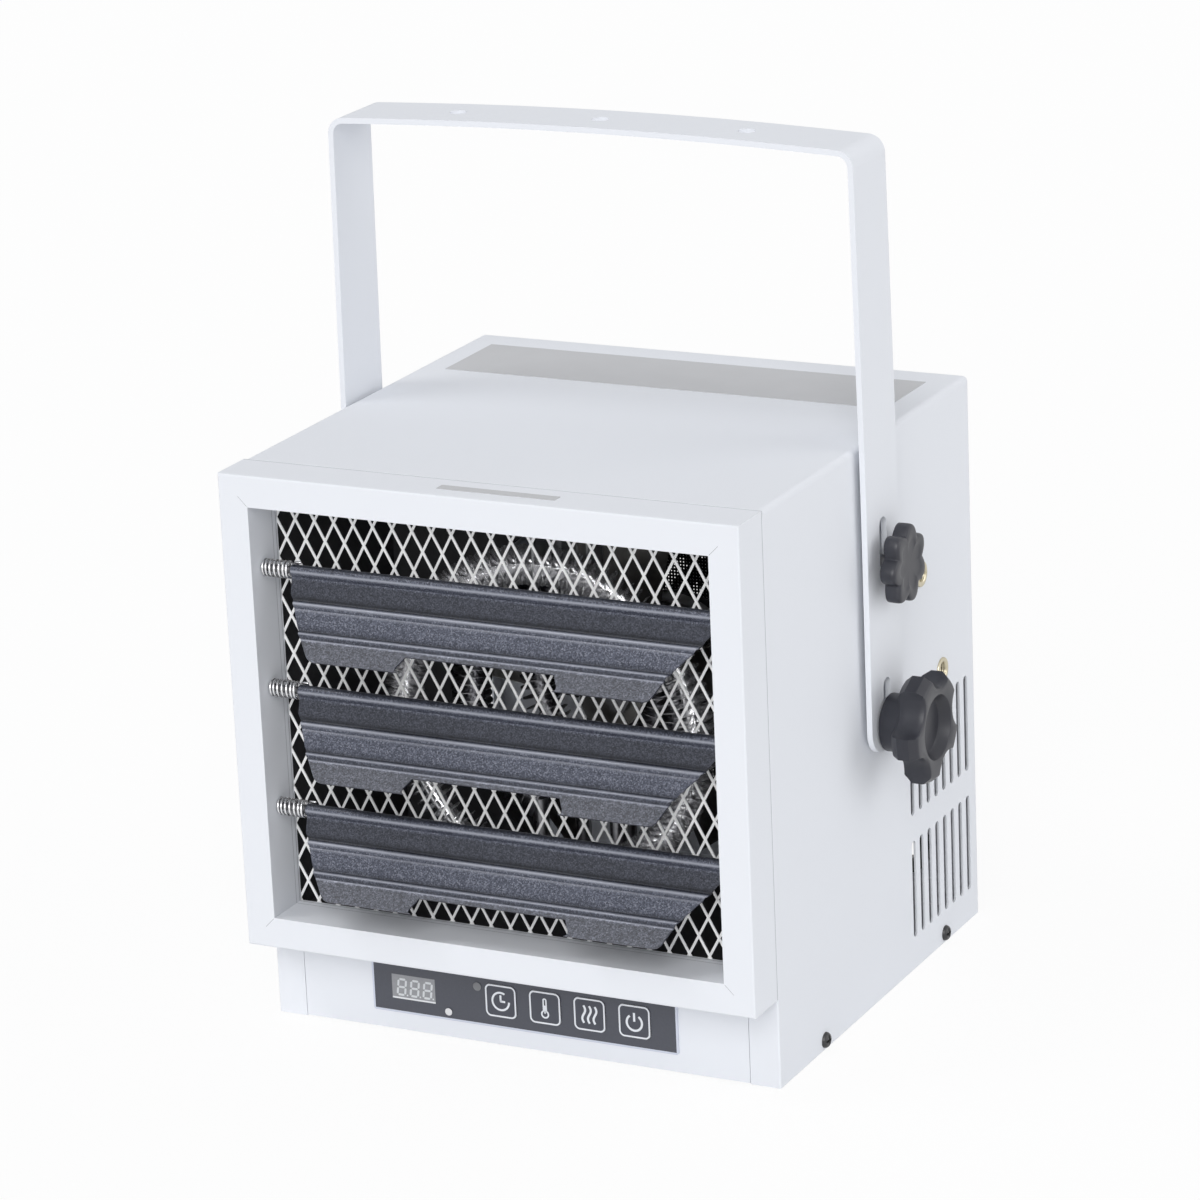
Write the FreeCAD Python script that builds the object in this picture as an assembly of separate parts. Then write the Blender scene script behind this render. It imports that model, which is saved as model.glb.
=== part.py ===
import FreeCAD, Part
import math
import os

# Driving dimensions, in millimetres. X runs across the heater, Y from front to rear, Z up.
# The origin is the centre of the base.

# Body of folded steel sheet
body_width = 290.0
body_depth = 262.0
body_height = 303.0
sheet = 1.2
bend_radius = 3.0
frame_width = 16.6
front_edge_radius = 1.0
base_lip = 12.0

# Fits
joint_gap = 0.3
running_fit = 0.06
close_fit = 0.02
seat_gap = 0.1
overrun = 5.0

# Bezel round the air outlet
fascia_height = 48.0
bezel_depth = 27.0
bezel_sheet = 1.5

# Guard mesh of expanded metal
mesh_thickness = 1.2
mesh_lap = 4.5
mesh_strand = 1.6
mesh_columns = 17
mesh_rows = 8

# Side vents
vent_width = 5.0
vent_length = 54.0
vent_pitch = 10.6
vent_count = 8
vent_first_height = 44.5
vent_second_height = 112.8
vent_rear_inset = 13.8

# Louvers
louver_count = 3
louver_top_drop = 34.9
louver_bottom_rise = 57.9
louver_setback = 12.2
louver_bands = 3
louver_band = 15.8
louver_bend = 16.0
louver_sheet = 1.0
louver_tilt = 31.0
louver_left_gap = 17.0
louver_right_gap = 1.4
louver_left_shoulder = 11.5
louver_right_shoulder = 5.2
louver_left_knee = 8.4
louver_right_knee = 22.6
louver_left_taper = 19.4
louver_right_taper = 28.5
louver_corner = 3.0
notch_depth = 8.5
notch_half_width = 46.5
notch_slope = 4.8
notch_offset = -5.2
bead_width = 2.8
bead_height = 1.0
rod_radius = 2.0
rod_end = 4.0

# Friction springs on the louver rods
spring_wire = 1.1
spring_radius = 4.0
spring_turns = 7
spring_end_gap = 0.5

# Control fascia and keypad
fascia_bottom_gap = 0.5
pad_left = 87.2
pad_right = 89.0
pad_bottom = 10.2
pad_height = 27.3
pad_thickness = 1.0
pad_corner = 1.5
button_size = 17.4
button_corner = 3.0
button_pitch = 25.5
button_first = 11.7
button_height = 25.2
button_proud = 0.5
button_cap = 0.9
button_travel = 0.5
button_stem = 3.0
display_width = 25.3
display_height = 13.4
display_left = 75.6
display_bottom = 18.1
indicator_radius = 1.85
indicator_across = 42.7
indicator_height = 14.9
receiver_radius = 2.2
receiver_across = 25.2
receiver_height = 31.5
lens_proud = 0.4

# Control board
board_gap = 9.0
board_thickness = 1.6
board_margin = 4.0
board_height = 44.0
switch_size = 6.0
post_radius = 3.0

# Blank plates
plate_thickness = 0.3
plate_width = 258.0
plate_depth = 54.0
plate_rear_inset = 20.5
strip_length = 66.0
strip_depth = 6.5
strip_across = 8.0

# Pivot and index holes for the bracket
pivot_height = 153.0
index_radius = 86.0
index_angles = (0.0, 45.0, 90.0)
stud_radius = 4.0
nut_flange_radius = 7.2
nut_flange = 1.0
nut_body_radius = 5.6
nut_length = 14.0

# Bracket of steel strap
strap = 3.0
strap_width = 40.0
leg_gap = 3.0
leg_foot = 14.0
leg_straight = 130.0
leg_lean = 2.4
bracket_rise = 303.4
bar_bow = 6.0
bar_radius = 2800.0
corner_radius = 6.0
lean_radius = 6000.0
slot_width = 9.0
slot_length = 28.5
ceiling_hole_radius = 4.5
ceiling_hole_spacing = 82.0

# Knobs
washer_radius = 9.0
washer_thickness = 1.0
upper_lobes = 7
upper_radius = 21.0
upper_valley = 16.4
upper_turn = 79.0
upper_thickness = 8.6
upper_hub_radius = 9.5
upper_hub = 0.8
upper_travel = 4.6
upper_edge = 1.6
tip_clearance = 0.4
lower_lobes = 5
lower_radius = 30.0
lower_valley = 20.5
lower_tip_half = 6.0
lower_turn = 43.0
lower_thickness = 15.0
lower_hub_radius = 15.2
lower_hub = 12.0
lower_edge = 4.0
dish_radius = 17.0
dish_depth = 6.0
lower_engagement = 11.0

# Side and rear screws
screw_radius = 2.0
screw_head_radius = 4.5
screw_head = 2.6
side_screw_height = 5.0
side_screw_front = 55.0
side_screw_rear = 48.5
rear_screw_inset = 8.0

# Fan, motor and shroud
fan_drop = 25.5
shroud_setback = 123.0
shroud_bore = 100.0
shroud_lip = 14.0
fan_radius = 95.0
fan_blades = 5
fan_hub_radius = 25.0
fan_hub_length = 20.0
fan_gap = 4.0
fan_start_gap = 3.0
blade_thickness = 1.6
blade_root_chord = 30.0
blade_tip_chord = 52.0
blade_root_angle = 48.0
blade_tip_angle = 22.0
shaft_radius = 4.0
shaft_nose = 8.0
fan_nut_radius = 7.0
fan_nut_length = 6.0
motor_radius = 38.0
motor_length = 56.0
motor_boss_radius = 12.0
motor_boss = 5.0
motor_bell = 12.0
motor_bell_radius = 31.0
spider_band = 12.0
spider_thickness = 1.6
spider_arm = 14.0
spider_foot_radius = 112.0

# Air duct
duct_sheet = 0.8
duct_margin = 5.0
duct_clearance = 0.6

# Heating loops
loop_count = 3
loop_radius = 83.7
loop_step = 24.0
loop_drop = 10.9
loop_first = 43.0
loop_pitch = 30.0
tube_radius = 4.2
fin_radius = 10.5
fin_thickness = 1.0
fin_pitch = 7.4
loop_gap_angle = 44.0
leg_below = 14.0
bush_radius = 7.0
bush_flange_radius = 9.5
bush_flange = 3.0
hanger_width = 16.0
hanger_thickness = 1.5

# Electrical pieces in the lower compartment
block_length = 64.0
block_depth = 24.0
block_height = 22.0
block_poles = 4
pole_radius = 5.0
pole_depth = 4.0
contactor_width = 46.0
contactor_depth = 44.0
contactor_height = 42.0
contactor_step = 8.0
cutout_radius = 8.0
cutout_height = 9.5
cutout_plate = 1.0

# Rear panel
intake_rings = 5
intake_first_radius = 26.0
intake_pitch = 16.0
intake_slot = 6.0
intake_spokes = 6
intake_rib = 9.0
gland_radius = 11.0
gland_bore = 7.5
gland_flange = 3.5
gland_flange_radius = 15.0
gland_across = 104.0
gland_height = 34.0

# Places that follow from the sizes above
half_width = body_width / 2
front = -body_depth / 2
rear = body_depth / 2
bezel_front = front - bezel_depth
bezel_bottom = fascia_height
open_half = half_width - frame_width
open_bottom = bezel_bottom + frame_width
open_top = body_height - frame_width
mesh_front = front + sheet
mesh_back = mesh_front + mesh_thickness
pad_front = front - pad_thickness
board_front = front + board_gap
louver_pivot_y = bezel_front + louver_setback
louver_top = open_top - louver_top_drop
louver_pitch = (louver_top - open_bottom - louver_bottom_rise) / (louver_count - 1)
louver_left = -open_half + louver_left_gap
louver_right = open_half - louver_right_gap
louver_middle = (louver_left + louver_right) / 2
hem_bore = rod_radius + running_fit
hem_radius = hem_bore + louver_sheet
leg_inner = half_width + leg_gap
leg_outer = leg_inner + strap
slot_half = slot_width / 2
shroud_front = front + shroud_setback
shroud_back = shroud_front + sheet
fan_front = shroud_back + fan_start_gap
fan_back = fan_front + fan_hub_length
motor_front = fan_back + fan_gap + motor_boss
motor_back = motor_front + motor_length
nut_face = half_width + nut_flange
duct_half = nut_face - nut_length - duct_clearance
duct_bottom = open_bottom - duct_margin - sheet
duct_top = open_top + duct_margin
loop_height = (open_bottom + open_top) / 2 - loop_drop
fan_height = (open_bottom + open_top) / 2 - fan_drop


def vec(x, y, z):
    return FreeCAD.Vector(x, y, z)


across = vec(1, 0, 0)
back = vec(0, 1, 0)
up = vec(0, 0, 1)


def box(x0, x1, y0, y1, z0, z1):
    return Part.makeBox(x1 - x0, y1 - y0, z1 - z0, vec(x0, y0, z0))


def rod_x(x0, x1, y, z, radius):
    return Part.makeCylinder(radius, x1 - x0, vec(x0, y, z), across)


def rod_y(y0, y1, x, z, radius):
    return Part.makeCylinder(radius, y1 - y0, vec(x, y0, z), back)


def rod_z(z0, z1, x, y, radius):
    return Part.makeCylinder(radius, z1 - z0, vec(x, y, z0), up)


def joined(shapes):
    return shapes[0].multiFuse(shapes[1:]).removeSplitter()


def mirrored(shape):
    return shape.mirror(vec(0, 0, 0), across)


def both_sides(shape):
    return [shape, mirrored(shape)]


def in_xz(a, b):
    return vec(a, 0, b)


def in_yz(a, b):
    return vec(0, a, b)


def in_xy(a, b):
    return vec(a, b, 0)


# An outline through the given corners, each rounded by its own radius.
def rounded_wire(corners, radii, place):
    spans = []
    count = len(corners)
    for index in range(count):
        ahead = corners[(index + 1) % count]
        here = corners[index]
        behind = corners[index - 1]
        radius = radii[index]
        if radius == 0:
            spans.append((here, None, here))
            continue
        to_behind = unit(here, behind)
        to_ahead = unit(here, ahead)
        bisector = unit((0, 0), (to_behind[0] + to_ahead[0], to_behind[1] + to_ahead[1]))
        half = math.acos(max(-1, min(1, to_behind[0] * to_ahead[0] + to_behind[1] * to_ahead[1]))) / 2
        reach = radius / math.tan(half)
        inset = radius / math.sin(half) - radius
        start = stepped(here, to_behind, reach)
        middle = stepped(here, bisector, inset)
        end = stepped(here, to_ahead, reach)
        spans.append((start, middle, end))
    edges = []
    for index in range(count):
        start, middle, end = spans[index]
        if middle is not None:
            edges.append(Part.Arc(place(*start), place(*middle), place(*end)).toShape())
        following = spans[(index + 1) % count][0]
        edges.append(Part.LineSegment(place(*end), place(*following)).toShape())
    return Part.Wire(edges)


def unit(start, end):
    dx = end[0] - start[0]
    dy = end[1] - start[1]
    length = math.hypot(dx, dy)
    return (dx / length, dy / length)


def stepped(point, direction, length):
    return (point[0] + direction[0] * length, point[1] + direction[1] * length)


def rounded_prism(corners, radii, place, direction):
    return Part.Face(rounded_wire(corners, radii, place)).extrude(direction)


def rounded_plate(x0, x1, y0, y1, z0, z1, radius):
    corners = [(x0, z0), (x1, z0), (x1, z1), (x0, z1)]
    shape = rounded_prism(corners, [radius] * len(corners), in_xz, vec(0, y1 - y0, 0))
    shape.translate(vec(0, y0, 0))
    return shape


# A slot along Z, cut through a wall that faces X.
def side_slot(x0, x1, y, z0, z1, half):
    ends = [rod_x(x0, x1, y, z, half) for z in (z0 + half, z1 - half)]
    middle = box(x0, x1, y - half, y + half, z0 + half, z1 - half)
    return joined(ends + [middle])


def edges_along(shape, test):
    return [edge for edge in shape.Edges if test(edge.CenterOfMass)]


def near(a, b):
    return abs(a - b) < running_fit


def save(node, shape):
    solids = shape.Solids
    shape.exportStep("parts/" + node + ".step")
    print(node, len(solids), "solids", round(sum(solid.Volume for solid in solids)), "mm3")


def grouped(shapes):
    return Part.makeCompound(shapes)


# The side holes for the rivet nuts, as places on the YZ plane.
def index_places():
    places = [(0, pivot_height)]
    for angle in index_angles:
        turn = math.radians(angle)
        places.append((index_radius * math.sin(turn), pivot_height + index_radius * math.cos(turn)))
    return places


def side_screw_places():
    return [front + side_screw_front, rear - side_screw_rear]


def housing_block(inset, radius):
    block = box(-half_width + inset, half_width - inset, front + inset, rear - inset, 0, body_height - inset)

    def folded(centre):
        on_side = near(abs(centre.x), half_width - inset)
        on_rear = near(centre.y, rear - inset)
        on_top = near(centre.z, body_height - inset)
        return (on_side and on_rear) or (on_side and on_top) or (on_rear and on_top)

    return block.makeFillet(radius, edges_along(block, folded))


def housing_shell():
    outer = housing_block(0, bend_radius)

    def front_corner(centre):
        return near(abs(centre.x), half_width) and near(centre.y, front)

    outer = outer.makeFillet(front_edge_radius, edges_along(outer, front_corner))
    shell = outer.cut(housing_block(sheet, bend_radius - sheet))
    shell = shell.cut(box(-open_half, open_half, front - overrun, front + overrun, -overrun, open_top))
    shell = shell.cut(box(-open_half, open_half, rear - overrun, rear + overrun, -overrun, open_top))
    tools = []
    last = rear - vent_rear_inset
    for index in range(vent_count):
        y = last - index * vent_pitch
        for height in (vent_first_height, vent_second_height):
            tools.append((y, height))
    cuts = []
    for y, height in tools:
        slot = side_slot(half_width - overrun, half_width + overrun, y,
                         height - vent_length / 2, height + vent_length / 2, vent_width / 2)
        cuts += both_sides(slot)
    for y, z in index_places():
        cuts += both_sides(rod_x(half_width - overrun, half_width + overrun, y, z,
                                 nut_body_radius + close_fit))
    for y in side_screw_places():
        hole = rod_x(half_width - overrun, half_width + overrun, y, side_screw_height,
                     screw_radius + close_fit)
        cuts += both_sides(hole)
    for x, z in rear_screw_places():
        cuts.append(rod_y(rear - overrun, rear + overrun, x, z, screw_radius + close_fit))
    return shell.cut(grouped(cuts))


def rear_screw_places():
    x = half_width - rear_screw_inset
    low = base_lip + rear_screw_inset
    high = body_height - rear_screw_inset
    return [(-x, low), (x, low), (-x, high), (x, high), (0, high)]


def base_pan():
    side = half_width - sheet
    outer = box(-side, side, front + sheet, rear - sheet, 0, base_lip)

    def rear_corner(centre):
        return near(abs(centre.x), side) and near(centre.y, rear - sheet)

    outer = outer.makeFillet(bend_radius, edges_along(outer, rear_corner))
    inner = box(-side + sheet, side - sheet, front + 2 * sheet, rear - 2 * sheet, sheet, base_lip + overrun)
    pan = outer.cut(inner)
    # The front lip is lowered behind the fascia's rim.
    rim = box(-side + sheet, side - sheet, front, front + 2 * sheet, sheet, base_lip + overrun)
    tools = [rim]
    for y in side_screw_places():
        hole = rod_x(side - overrun, side + overrun, y, side_screw_height, screw_radius + close_fit)
        tools += both_sides(hole)
    return pan.cut(grouped(tools))


def rear_panel():
    side = half_width - bend_radius - joint_gap
    y0 = rear - 2 * sheet
    y1 = rear - sheet
    plate = box(-side, side, y0, y1, base_lip + joint_gap, body_height - bend_radius - joint_gap)
    cuts = []
    for ring in range(intake_rings):
        middle = intake_first_radius + ring * intake_pitch
        outer = rod_y(y0 - overrun, y1 + overrun, 0, fan_height, middle + intake_slot / 2)
        inner = rod_y(y0 - 2 * overrun, y1 + 2 * overrun, 0, fan_height, middle - intake_slot / 2)
        cuts.append(outer.cut(inner))
    reach = intake_first_radius + intake_rings * intake_pitch
    spokes = []
    for index in range(intake_spokes):
        spoke = box(0, reach, y0 - overrun, y1 + overrun, fan_height - intake_rib / 2,
                    fan_height + intake_rib / 2)
        spoke.rotate(vec(0, 0, fan_height), back, index * 360 / intake_spokes)
        spokes.append(spoke)
    slots = grouped(cuts).cut(joined(spokes))
    holes = [rod_y(y0 - overrun, y1 + overrun, x, z, screw_radius + close_fit) for x,
             z in rear_screw_places()]
    holes.append(rod_y(y0 - overrun, y1 + overrun, gland_across, gland_height, gland_radius + seat_gap))
    return plate.cut(slots).cut(grouped(holes))


# A mitred frame of folded sheet, hollow and open at the back.
def front_bezel():
    outer = box(-half_width, half_width, bezel_front, front, bezel_bottom, body_height)

    def face_edge(centre):
        return near(centre.y, bezel_front)

    outer = outer.makeFillet(front_edge_radius, edges_along(outer, face_edge))
    frame = outer.cut(box(-open_half, open_half, bezel_front - overrun, front + overrun, open_bottom,
                          open_top))
    hollow = box(-half_width + bezel_sheet, half_width - bezel_sheet, bezel_front + bezel_sheet,
                 front + overrun,
                 bezel_bottom + bezel_sheet, body_height - bezel_sheet)
    core = box(-open_half - bezel_sheet, open_half + bezel_sheet, bezel_front, front + 2 * overrun,
               open_bottom - bezel_sheet, open_top + bezel_sheet)
    frame = frame.cut(hollow.cut(core))
    holes = []
    for height in louver_heights():
        hole = rod_x(open_half - overrun, open_half + overrun, louver_pivot_y, height,
                     rod_radius + running_fit)
        holes += both_sides(hole)
    return frame.cut(grouped(holes))


def louver_heights():
    return [louver_top - index * louver_pitch for index in range(louver_count)]


# One flat sheet with staggered diamond openings between straight rims.
def guard_mesh():
    half = open_half + mesh_lap
    low = open_bottom - mesh_lap
    high = open_top + mesh_lap
    outline = Part.makePolygon([in_xz(-half, low), in_xz(half, low), in_xz(half, high), in_xz(-half, high),
                                in_xz(-half, low)])
    pitch_x = 2 * open_half / mesh_columns
    pitch_z = (open_top - open_bottom) / mesh_rows
    strand_x = mesh_strand * math.hypot(pitch_x, pitch_z) / pitch_z / 2
    strand_z = mesh_strand * math.hypot(pitch_x, pitch_z) / pitch_x / 2
    reach_x = pitch_x / 2 - strand_x
    reach_z = pitch_z / 2 - strand_z
    holes = []
    for row in range(2 * mesh_rows - 1):
        shifted = row % 2
        middle_z = open_bottom + (row + 1) * pitch_z / 2
        for column in range(mesh_columns - shifted):
            middle_x = -open_half + (column + (1 + shifted) / 2) * pitch_x
            corners = [in_xz(middle_x - reach_x, middle_z), in_xz(middle_x, middle_z - reach_z),
                       in_xz(middle_x + reach_x, middle_z), in_xz(middle_x, middle_z + reach_z)]
            holes.append(Part.makePolygon(corners + corners[:1]))
    print("mesh openings", len(holes))
    sheet_face = Part.Face([outline] + holes)
    mesh = sheet_face.extrude(vec(0, mesh_thickness, 0))
    mesh.translate(vec(0, mesh_front, 0))
    return mesh


def button_places():
    return [-button_first + index * button_pitch for index in range(4)]


def pad_openings(y0, y1, gap):
    low = display_bottom - gap
    high = display_bottom + display_height + gap
    return [box(-display_left - gap, -display_left + display_width + gap, y0, y1, low, high),
            rod_y(y0, y1, -indicator_across, indicator_height, indicator_radius + gap),
            rod_y(y0, y1, -receiver_across, receiver_height, receiver_radius + gap)]


def control_fascia():
    low = fascia_bottom_gap
    face = box(-open_half + joint_gap, open_half - joint_gap, front, front + sheet, low, open_bottom)
    rim = half_width - 2 * sheet - joint_gap
    rim_top = open_bottom - mesh_lap - joint_gap
    backing = box(-rim, rim, front + sheet, front + 2 * sheet, 2 * sheet, rim_top)
    tools = pad_openings(front - overrun, front + overrun, joint_gap)
    for x in button_places():
        tools.append(rod_y(front - overrun, front + overrun, x, button_height, button_stem + joint_gap))
    return joined([face, backing]).cut(grouped(tools))


def keypad_overlay():
    plate = rounded_plate(-pad_left, pad_right, pad_front, front, pad_bottom, pad_bottom + pad_height,
                          pad_corner)
    tools = pad_openings(pad_front - overrun, front + overrun, 0)
    half = button_size / 2 + joint_gap
    for x in button_places():
        tools.append(rounded_plate(x - half, x + half, pad_front - overrun, front + overrun,
                                   button_height - half, button_height + half, button_corner + joint_gap))
    return plate.cut(grouped(tools))


# A cap that stands a little proud of the overlay, on a stem that reaches the board's switch.
def key_button(x):
    half = button_size / 2
    cap_front = pad_front - button_proud
    cap_back = cap_front + button_cap
    cap = rounded_plate(x - half, x + half, cap_front, cap_back, button_height - half, button_height + half,
                        button_corner)
    stem = rod_y(cap_back, board_front - switch_depth() - button_travel - joint_gap, x, button_height,
                 button_stem)
    return joined([cap, stem])


def switch_depth():
    return board_gap / 3


def display_window():
    return box(-display_left, -display_left + display_width, pad_front, board_front,
               display_bottom, display_bottom + display_height)


# A round lens with a domed end, standing on the control board.
def pad_lens(x, z, radius):
    barrel = rod_y(pad_front - lens_proud + radius / 2, board_front, x, z, radius)
    dome = Part.makeSphere(radius, vec(x, pad_front - lens_proud + radius, z))
    dome = dome.common(rod_y(pad_front - lens_proud - overrun, pad_front - lens_proud + radius, x, z, radius))
    return joined([barrel, dome])


def control_board():
    left = -pad_left + board_margin
    right = pad_right - board_margin
    low = base_lip / 2
    plate = box(left, right, board_front, board_front + board_thickness, low, low + board_height)
    pieces = [plate]
    inset = 2 * post_radius
    for x in (left + inset, right - inset):
        for z in (low + inset, low + board_height - inset):
            pieces.append(rod_y(front + 2 * sheet, board_front, x, z, post_radius))
    half = switch_size / 2
    for x in button_places():
        pieces.append(box(x - half, x + half, board_front - switch_depth(), board_front,
                          button_height - half, button_height + half))
    return joined(pieces)


def top_plate():
    y1 = rear - plate_rear_inset
    return box(-plate_width / 2, plate_width / 2, y1 - plate_depth, y1, body_height,
               body_height + plate_thickness)


def bezel_strip():
    middle = (bezel_front + front) / 2
    return box(strip_across - strip_length / 2, strip_across + strip_length / 2, middle - strip_depth / 2,
               middle + strip_depth / 2, body_height, body_height + plate_thickness)


# The blade hangs from its rod in local axes: s down the blade, n out of its face.
def louver_line():
    points = [(0, 0)]
    for index in range(louver_bands):
        angle = math.radians((index - (louver_bands - 1) / 2) * louver_bend)
        s, n = points[-1]
        points.append((s + louver_band * math.cos(angle), n + louver_band * math.sin(angle)))
    return points


# Flat bands that are bent towards the front, with a pressed bead at each bend.
def louver_blade(height):
    half = louver_sheet / 2
    line = louver_line()
    bead_share = bead_width / 2 / louver_band
    face = [line[0]]
    for index in range(1, louver_bands):
        s, n = line[index]
        for near in (line[index - 1], line[index + 1]):
            face.append((s + (near[0] - s) * bead_share, n + (near[1] - n) * bead_share))
        face.insert(-1, (s, n + bead_height))
    face.append(line[-1])
    reverse = [(s, n - half) for s, n in reversed(face)]
    section = [vec(louver_left, -n, -s) for s, n in [(s, n + half) for s, n in face] + reverse]
    plate = Part.Face(Part.makePolygon(section + section[:1])).extrude(vec(louver_right - louver_left, 0, 0))
    hem = rod_x(louver_left, louver_right, 0, 0, hem_radius)
    blade = joined([plate, hem])
    blade = blade.cut(rod_x(louver_left - overrun, louver_right + overrun, 0, 0, hem_bore))
    blade = blade.common(louver_outline())
    blade.rotate(vec(0, 0, 0), across, -louver_tilt)
    blade.translate(vec(0, louver_pivot_y, height))
    return blade


# The blade's plan: square shoulders, ends whose slope changes at the last bead, and a notch below.
def louver_outline():
    top = hem_radius + overrun
    left = louver_left
    right = louver_right
    middle = louver_middle + notch_offset
    knee = -louver_line()[-2][0]
    foot = -louver_line()[-1][0]
    corners = [(left, top), (left, -louver_left_shoulder), (left + louver_left_knee, knee),
               (left + louver_left_taper, foot),
               (middle - notch_half_width, foot),
               (middle - notch_half_width + notch_slope, foot + notch_depth),
               (middle + notch_half_width - notch_slope, foot + notch_depth),
               (middle + notch_half_width, foot),
               (right - louver_right_taper, foot), (right - louver_right_knee, knee),
               (right, -louver_right_shoulder), (right, top)]
    radii = [0, 0, 0, louver_corner, louver_corner, 0, 0, louver_corner, louver_corner, 0, 0, 0]
    depth = hem_radius + louver_band
    outline = rounded_prism(corners, radii, in_xz, vec(0, 2 * depth, 0))
    outline.translate(vec(0, -depth, 0))
    return outline


def louver_rod(height):
    reach = open_half + rod_end
    return rod_x(-reach, reach, louver_pivot_y, height, rod_radius)


# A third point on the arc that leaves start along tangent and reaches end.
def arc_middle(start, tangent, end):
    chord = end - start
    along = chord * (1 / chord.Length)
    side = tangent - along * tangent.dot(along)
    angle = math.atan2(side.Length, tangent.dot(along))
    side.normalize()
    return (start + end) * 0.5 + side * (chord.Length / 2 * math.tan(angle / 2))


# Two tangent arcs from one point and direction to another.
def biarc(start, start_tangent, end, end_tangent):
    chord = end - start
    total = start_tangent + end_tangent
    spread = 2 * (1 - start_tangent.dot(end_tangent))
    along = chord.dot(total)
    length = (math.sqrt(along * along + spread * chord.dot(chord)) - along) / spread
    meet = (start + start_tangent * length + end - end_tangent * length) * 0.5
    first = Part.Arc(start, arc_middle(start, start_tangent, meet), meet).toShape()
    last = Part.Arc(end, arc_middle(end, end_tangent * -1, meet), meet)
    second = Part.Arc(meet, last.value((last.FirstParameter + last.LastParameter) / 2), end).toShape()
    return [first, second]


def louver_spring(height):
    quarters = 4 * spring_turns
    length = louver_left_gap - 2 * spring_end_gap - spring_wire
    rise = length / quarters
    x0 = -open_half + spring_end_gap + spring_wire / 2
    points = []
    tangents = []
    for index in range(quarters + 1):
        angle = index * math.pi / 2
        points.append(vec(x0 + rise * index, louver_pivot_y + spring_radius * math.cos(angle),
                          height + spring_radius * math.sin(angle)))
        tangent = vec(rise / (math.pi / 2), -spring_radius * math.sin(angle), spring_radius * math.cos(angle))
        tangents.append(tangent.normalize())
    edges = [Part.LineSegment(points[0] - tangents[0] * (2 * spring_wire), points[0]).toShape()]
    for index in range(quarters):
        edges += biarc(points[index], tangents[index], points[index + 1], tangents[index + 1])
    edges.append(Part.LineSegment(points[-1], points[-1] + tangents[-1] * (2 * spring_wire)).toShape())
    path = Part.Wire(edges)
    start = points[0] - tangents[0] * (2 * spring_wire)
    section = Part.Wire(Part.Circle(start, tangents[0], spring_wire / 2).toShape())
    spring = path.makePipeShell([section], True, False)
    expected = math.pi * (spring_wire / 2) ** 2 * path.Length
    print("spring volume against section times length", round(spring.Volume / expected, 4))
    report_spring_gap(path)
    return spring


# The least gap between turns, measured on points along the wire more than half a turn apart.
def report_spring_gap(path):
    points = path.discretize(40 * spring_turns)
    skip = 22
    least = min((points[i] - points[j]).Length for i in range(len(points)) for j in range(i + skip,
                                                                                          len(points)))
    print("spring least gap", round(least - spring_wire, 3))


def strap_outline(offset):
    low = pivot_height - leg_foot
    knee = pivot_height + leg_straight
    top = pivot_height + bracket_rise - strap
    inner = leg_inner
    lean = math.atan2(leg_lean, top - knee)
    bow = math.atan2(bar_bow, inner - leg_lean)
    knee_shift = offset * math.tan(lean / 2)
    corner_x = inner - leg_lean
    leg_direction = (-math.sin(lean), math.cos(lean))
    bar_direction = (-math.cos(bow), math.sin(bow))
    corner = crossing((corner_x + offset * math.cos(lean), top + offset * math.sin(lean)), leg_direction,
                      (corner_x + offset * math.sin(bow), top + offset * math.cos(bow)), bar_direction)
    apex_height = top + bar_bow + offset / math.cos(bow)
    return [(inner + offset, low), (inner + offset, knee + knee_shift), corner, (0, apex_height)]


def crossing(point_a, direction_a, point_b, direction_b):
    det = direction_a[0] * direction_b[1] - direction_a[1] * direction_b[0]
    dx = point_b[0] - point_a[0]
    dy = point_b[1] - point_a[1]
    length = (dx * direction_b[1] - dy * direction_b[0]) / det
    return stepped(point_a, direction_a, length)


# A strap bent into an inverted U: the bar is slightly bowed and the legs lean in towards it.
def mounting_bracket():
    inner = strap_outline(0)
    outer = strap_outline(strap)
    right = [inner, outer]
    loop_inner = right[0] + [(-x, z) for x, z in reversed(right[0][:-1])]
    loop_outer = right[1] + [(-x, z) for x, z in reversed(right[1][:-1])]
    bends_inner = [0, lean_radius, corner_radius, bar_radius, corner_radius, lean_radius, 0]
    bends_outer = [0, lean_radius + strap, corner_radius + strap, bar_radius + strap, corner_radius + strap,
                   lean_radius + strap, 0]
    corners = loop_inner + loop_outer[::-1]
    radii = bends_inner + bends_outer[::-1]
    strip = rounded_prism(corners, radii, in_xz, vec(0, strap_width, 0))
    strip.translate(vec(0, -strap_width / 2, 0))
    low = pivot_height - leg_foot
    high = pivot_height + bracket_rise + bar_bow + strap
    half = strap_width / 2
    face = [(-half, low), (half, low), (half, high), (-half, high)]
    foot_round = leg_foot - running_fit
    leg_face = rounded_prism(face, [foot_round, foot_round, 0, 0], in_yz,
                             vec(2 * (leg_outer + overrun), 0, 0))
    leg_face.translate(vec(-leg_outer - overrun, 0, 0))
    strip = strip.common(leg_face)
    tools = []
    for z in (pivot_height, pivot_height + index_radius):
        slot = side_slot(leg_inner - overrun, leg_outer + overrun, 0, z - slot_half,
                         z - slot_half + slot_length,
                         slot_half)
        tools += both_sides(slot)
    for index in (-1, 0, 1):
        x = index * ceiling_hole_spacing
        tools.append(rod_z(high - strap - bar_bow - overrun, high + overrun, x, 0, ceiling_hole_radius))
    return strip.cut(grouped(tools))


# A threaded sleeve with a thin flange, set into the side.
def rivet_nut(y, z):
    flange = rod_x(half_width, nut_face, y, z, nut_flange_radius)
    sleeve = rod_x(nut_face - nut_length, half_width, y, z, nut_body_radius)
    bore = rod_x(nut_face - nut_length - overrun, nut_face + overrun, y, z, stud_radius + running_fit)
    return joined([flange, sleeve]).cut(bore)


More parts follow.
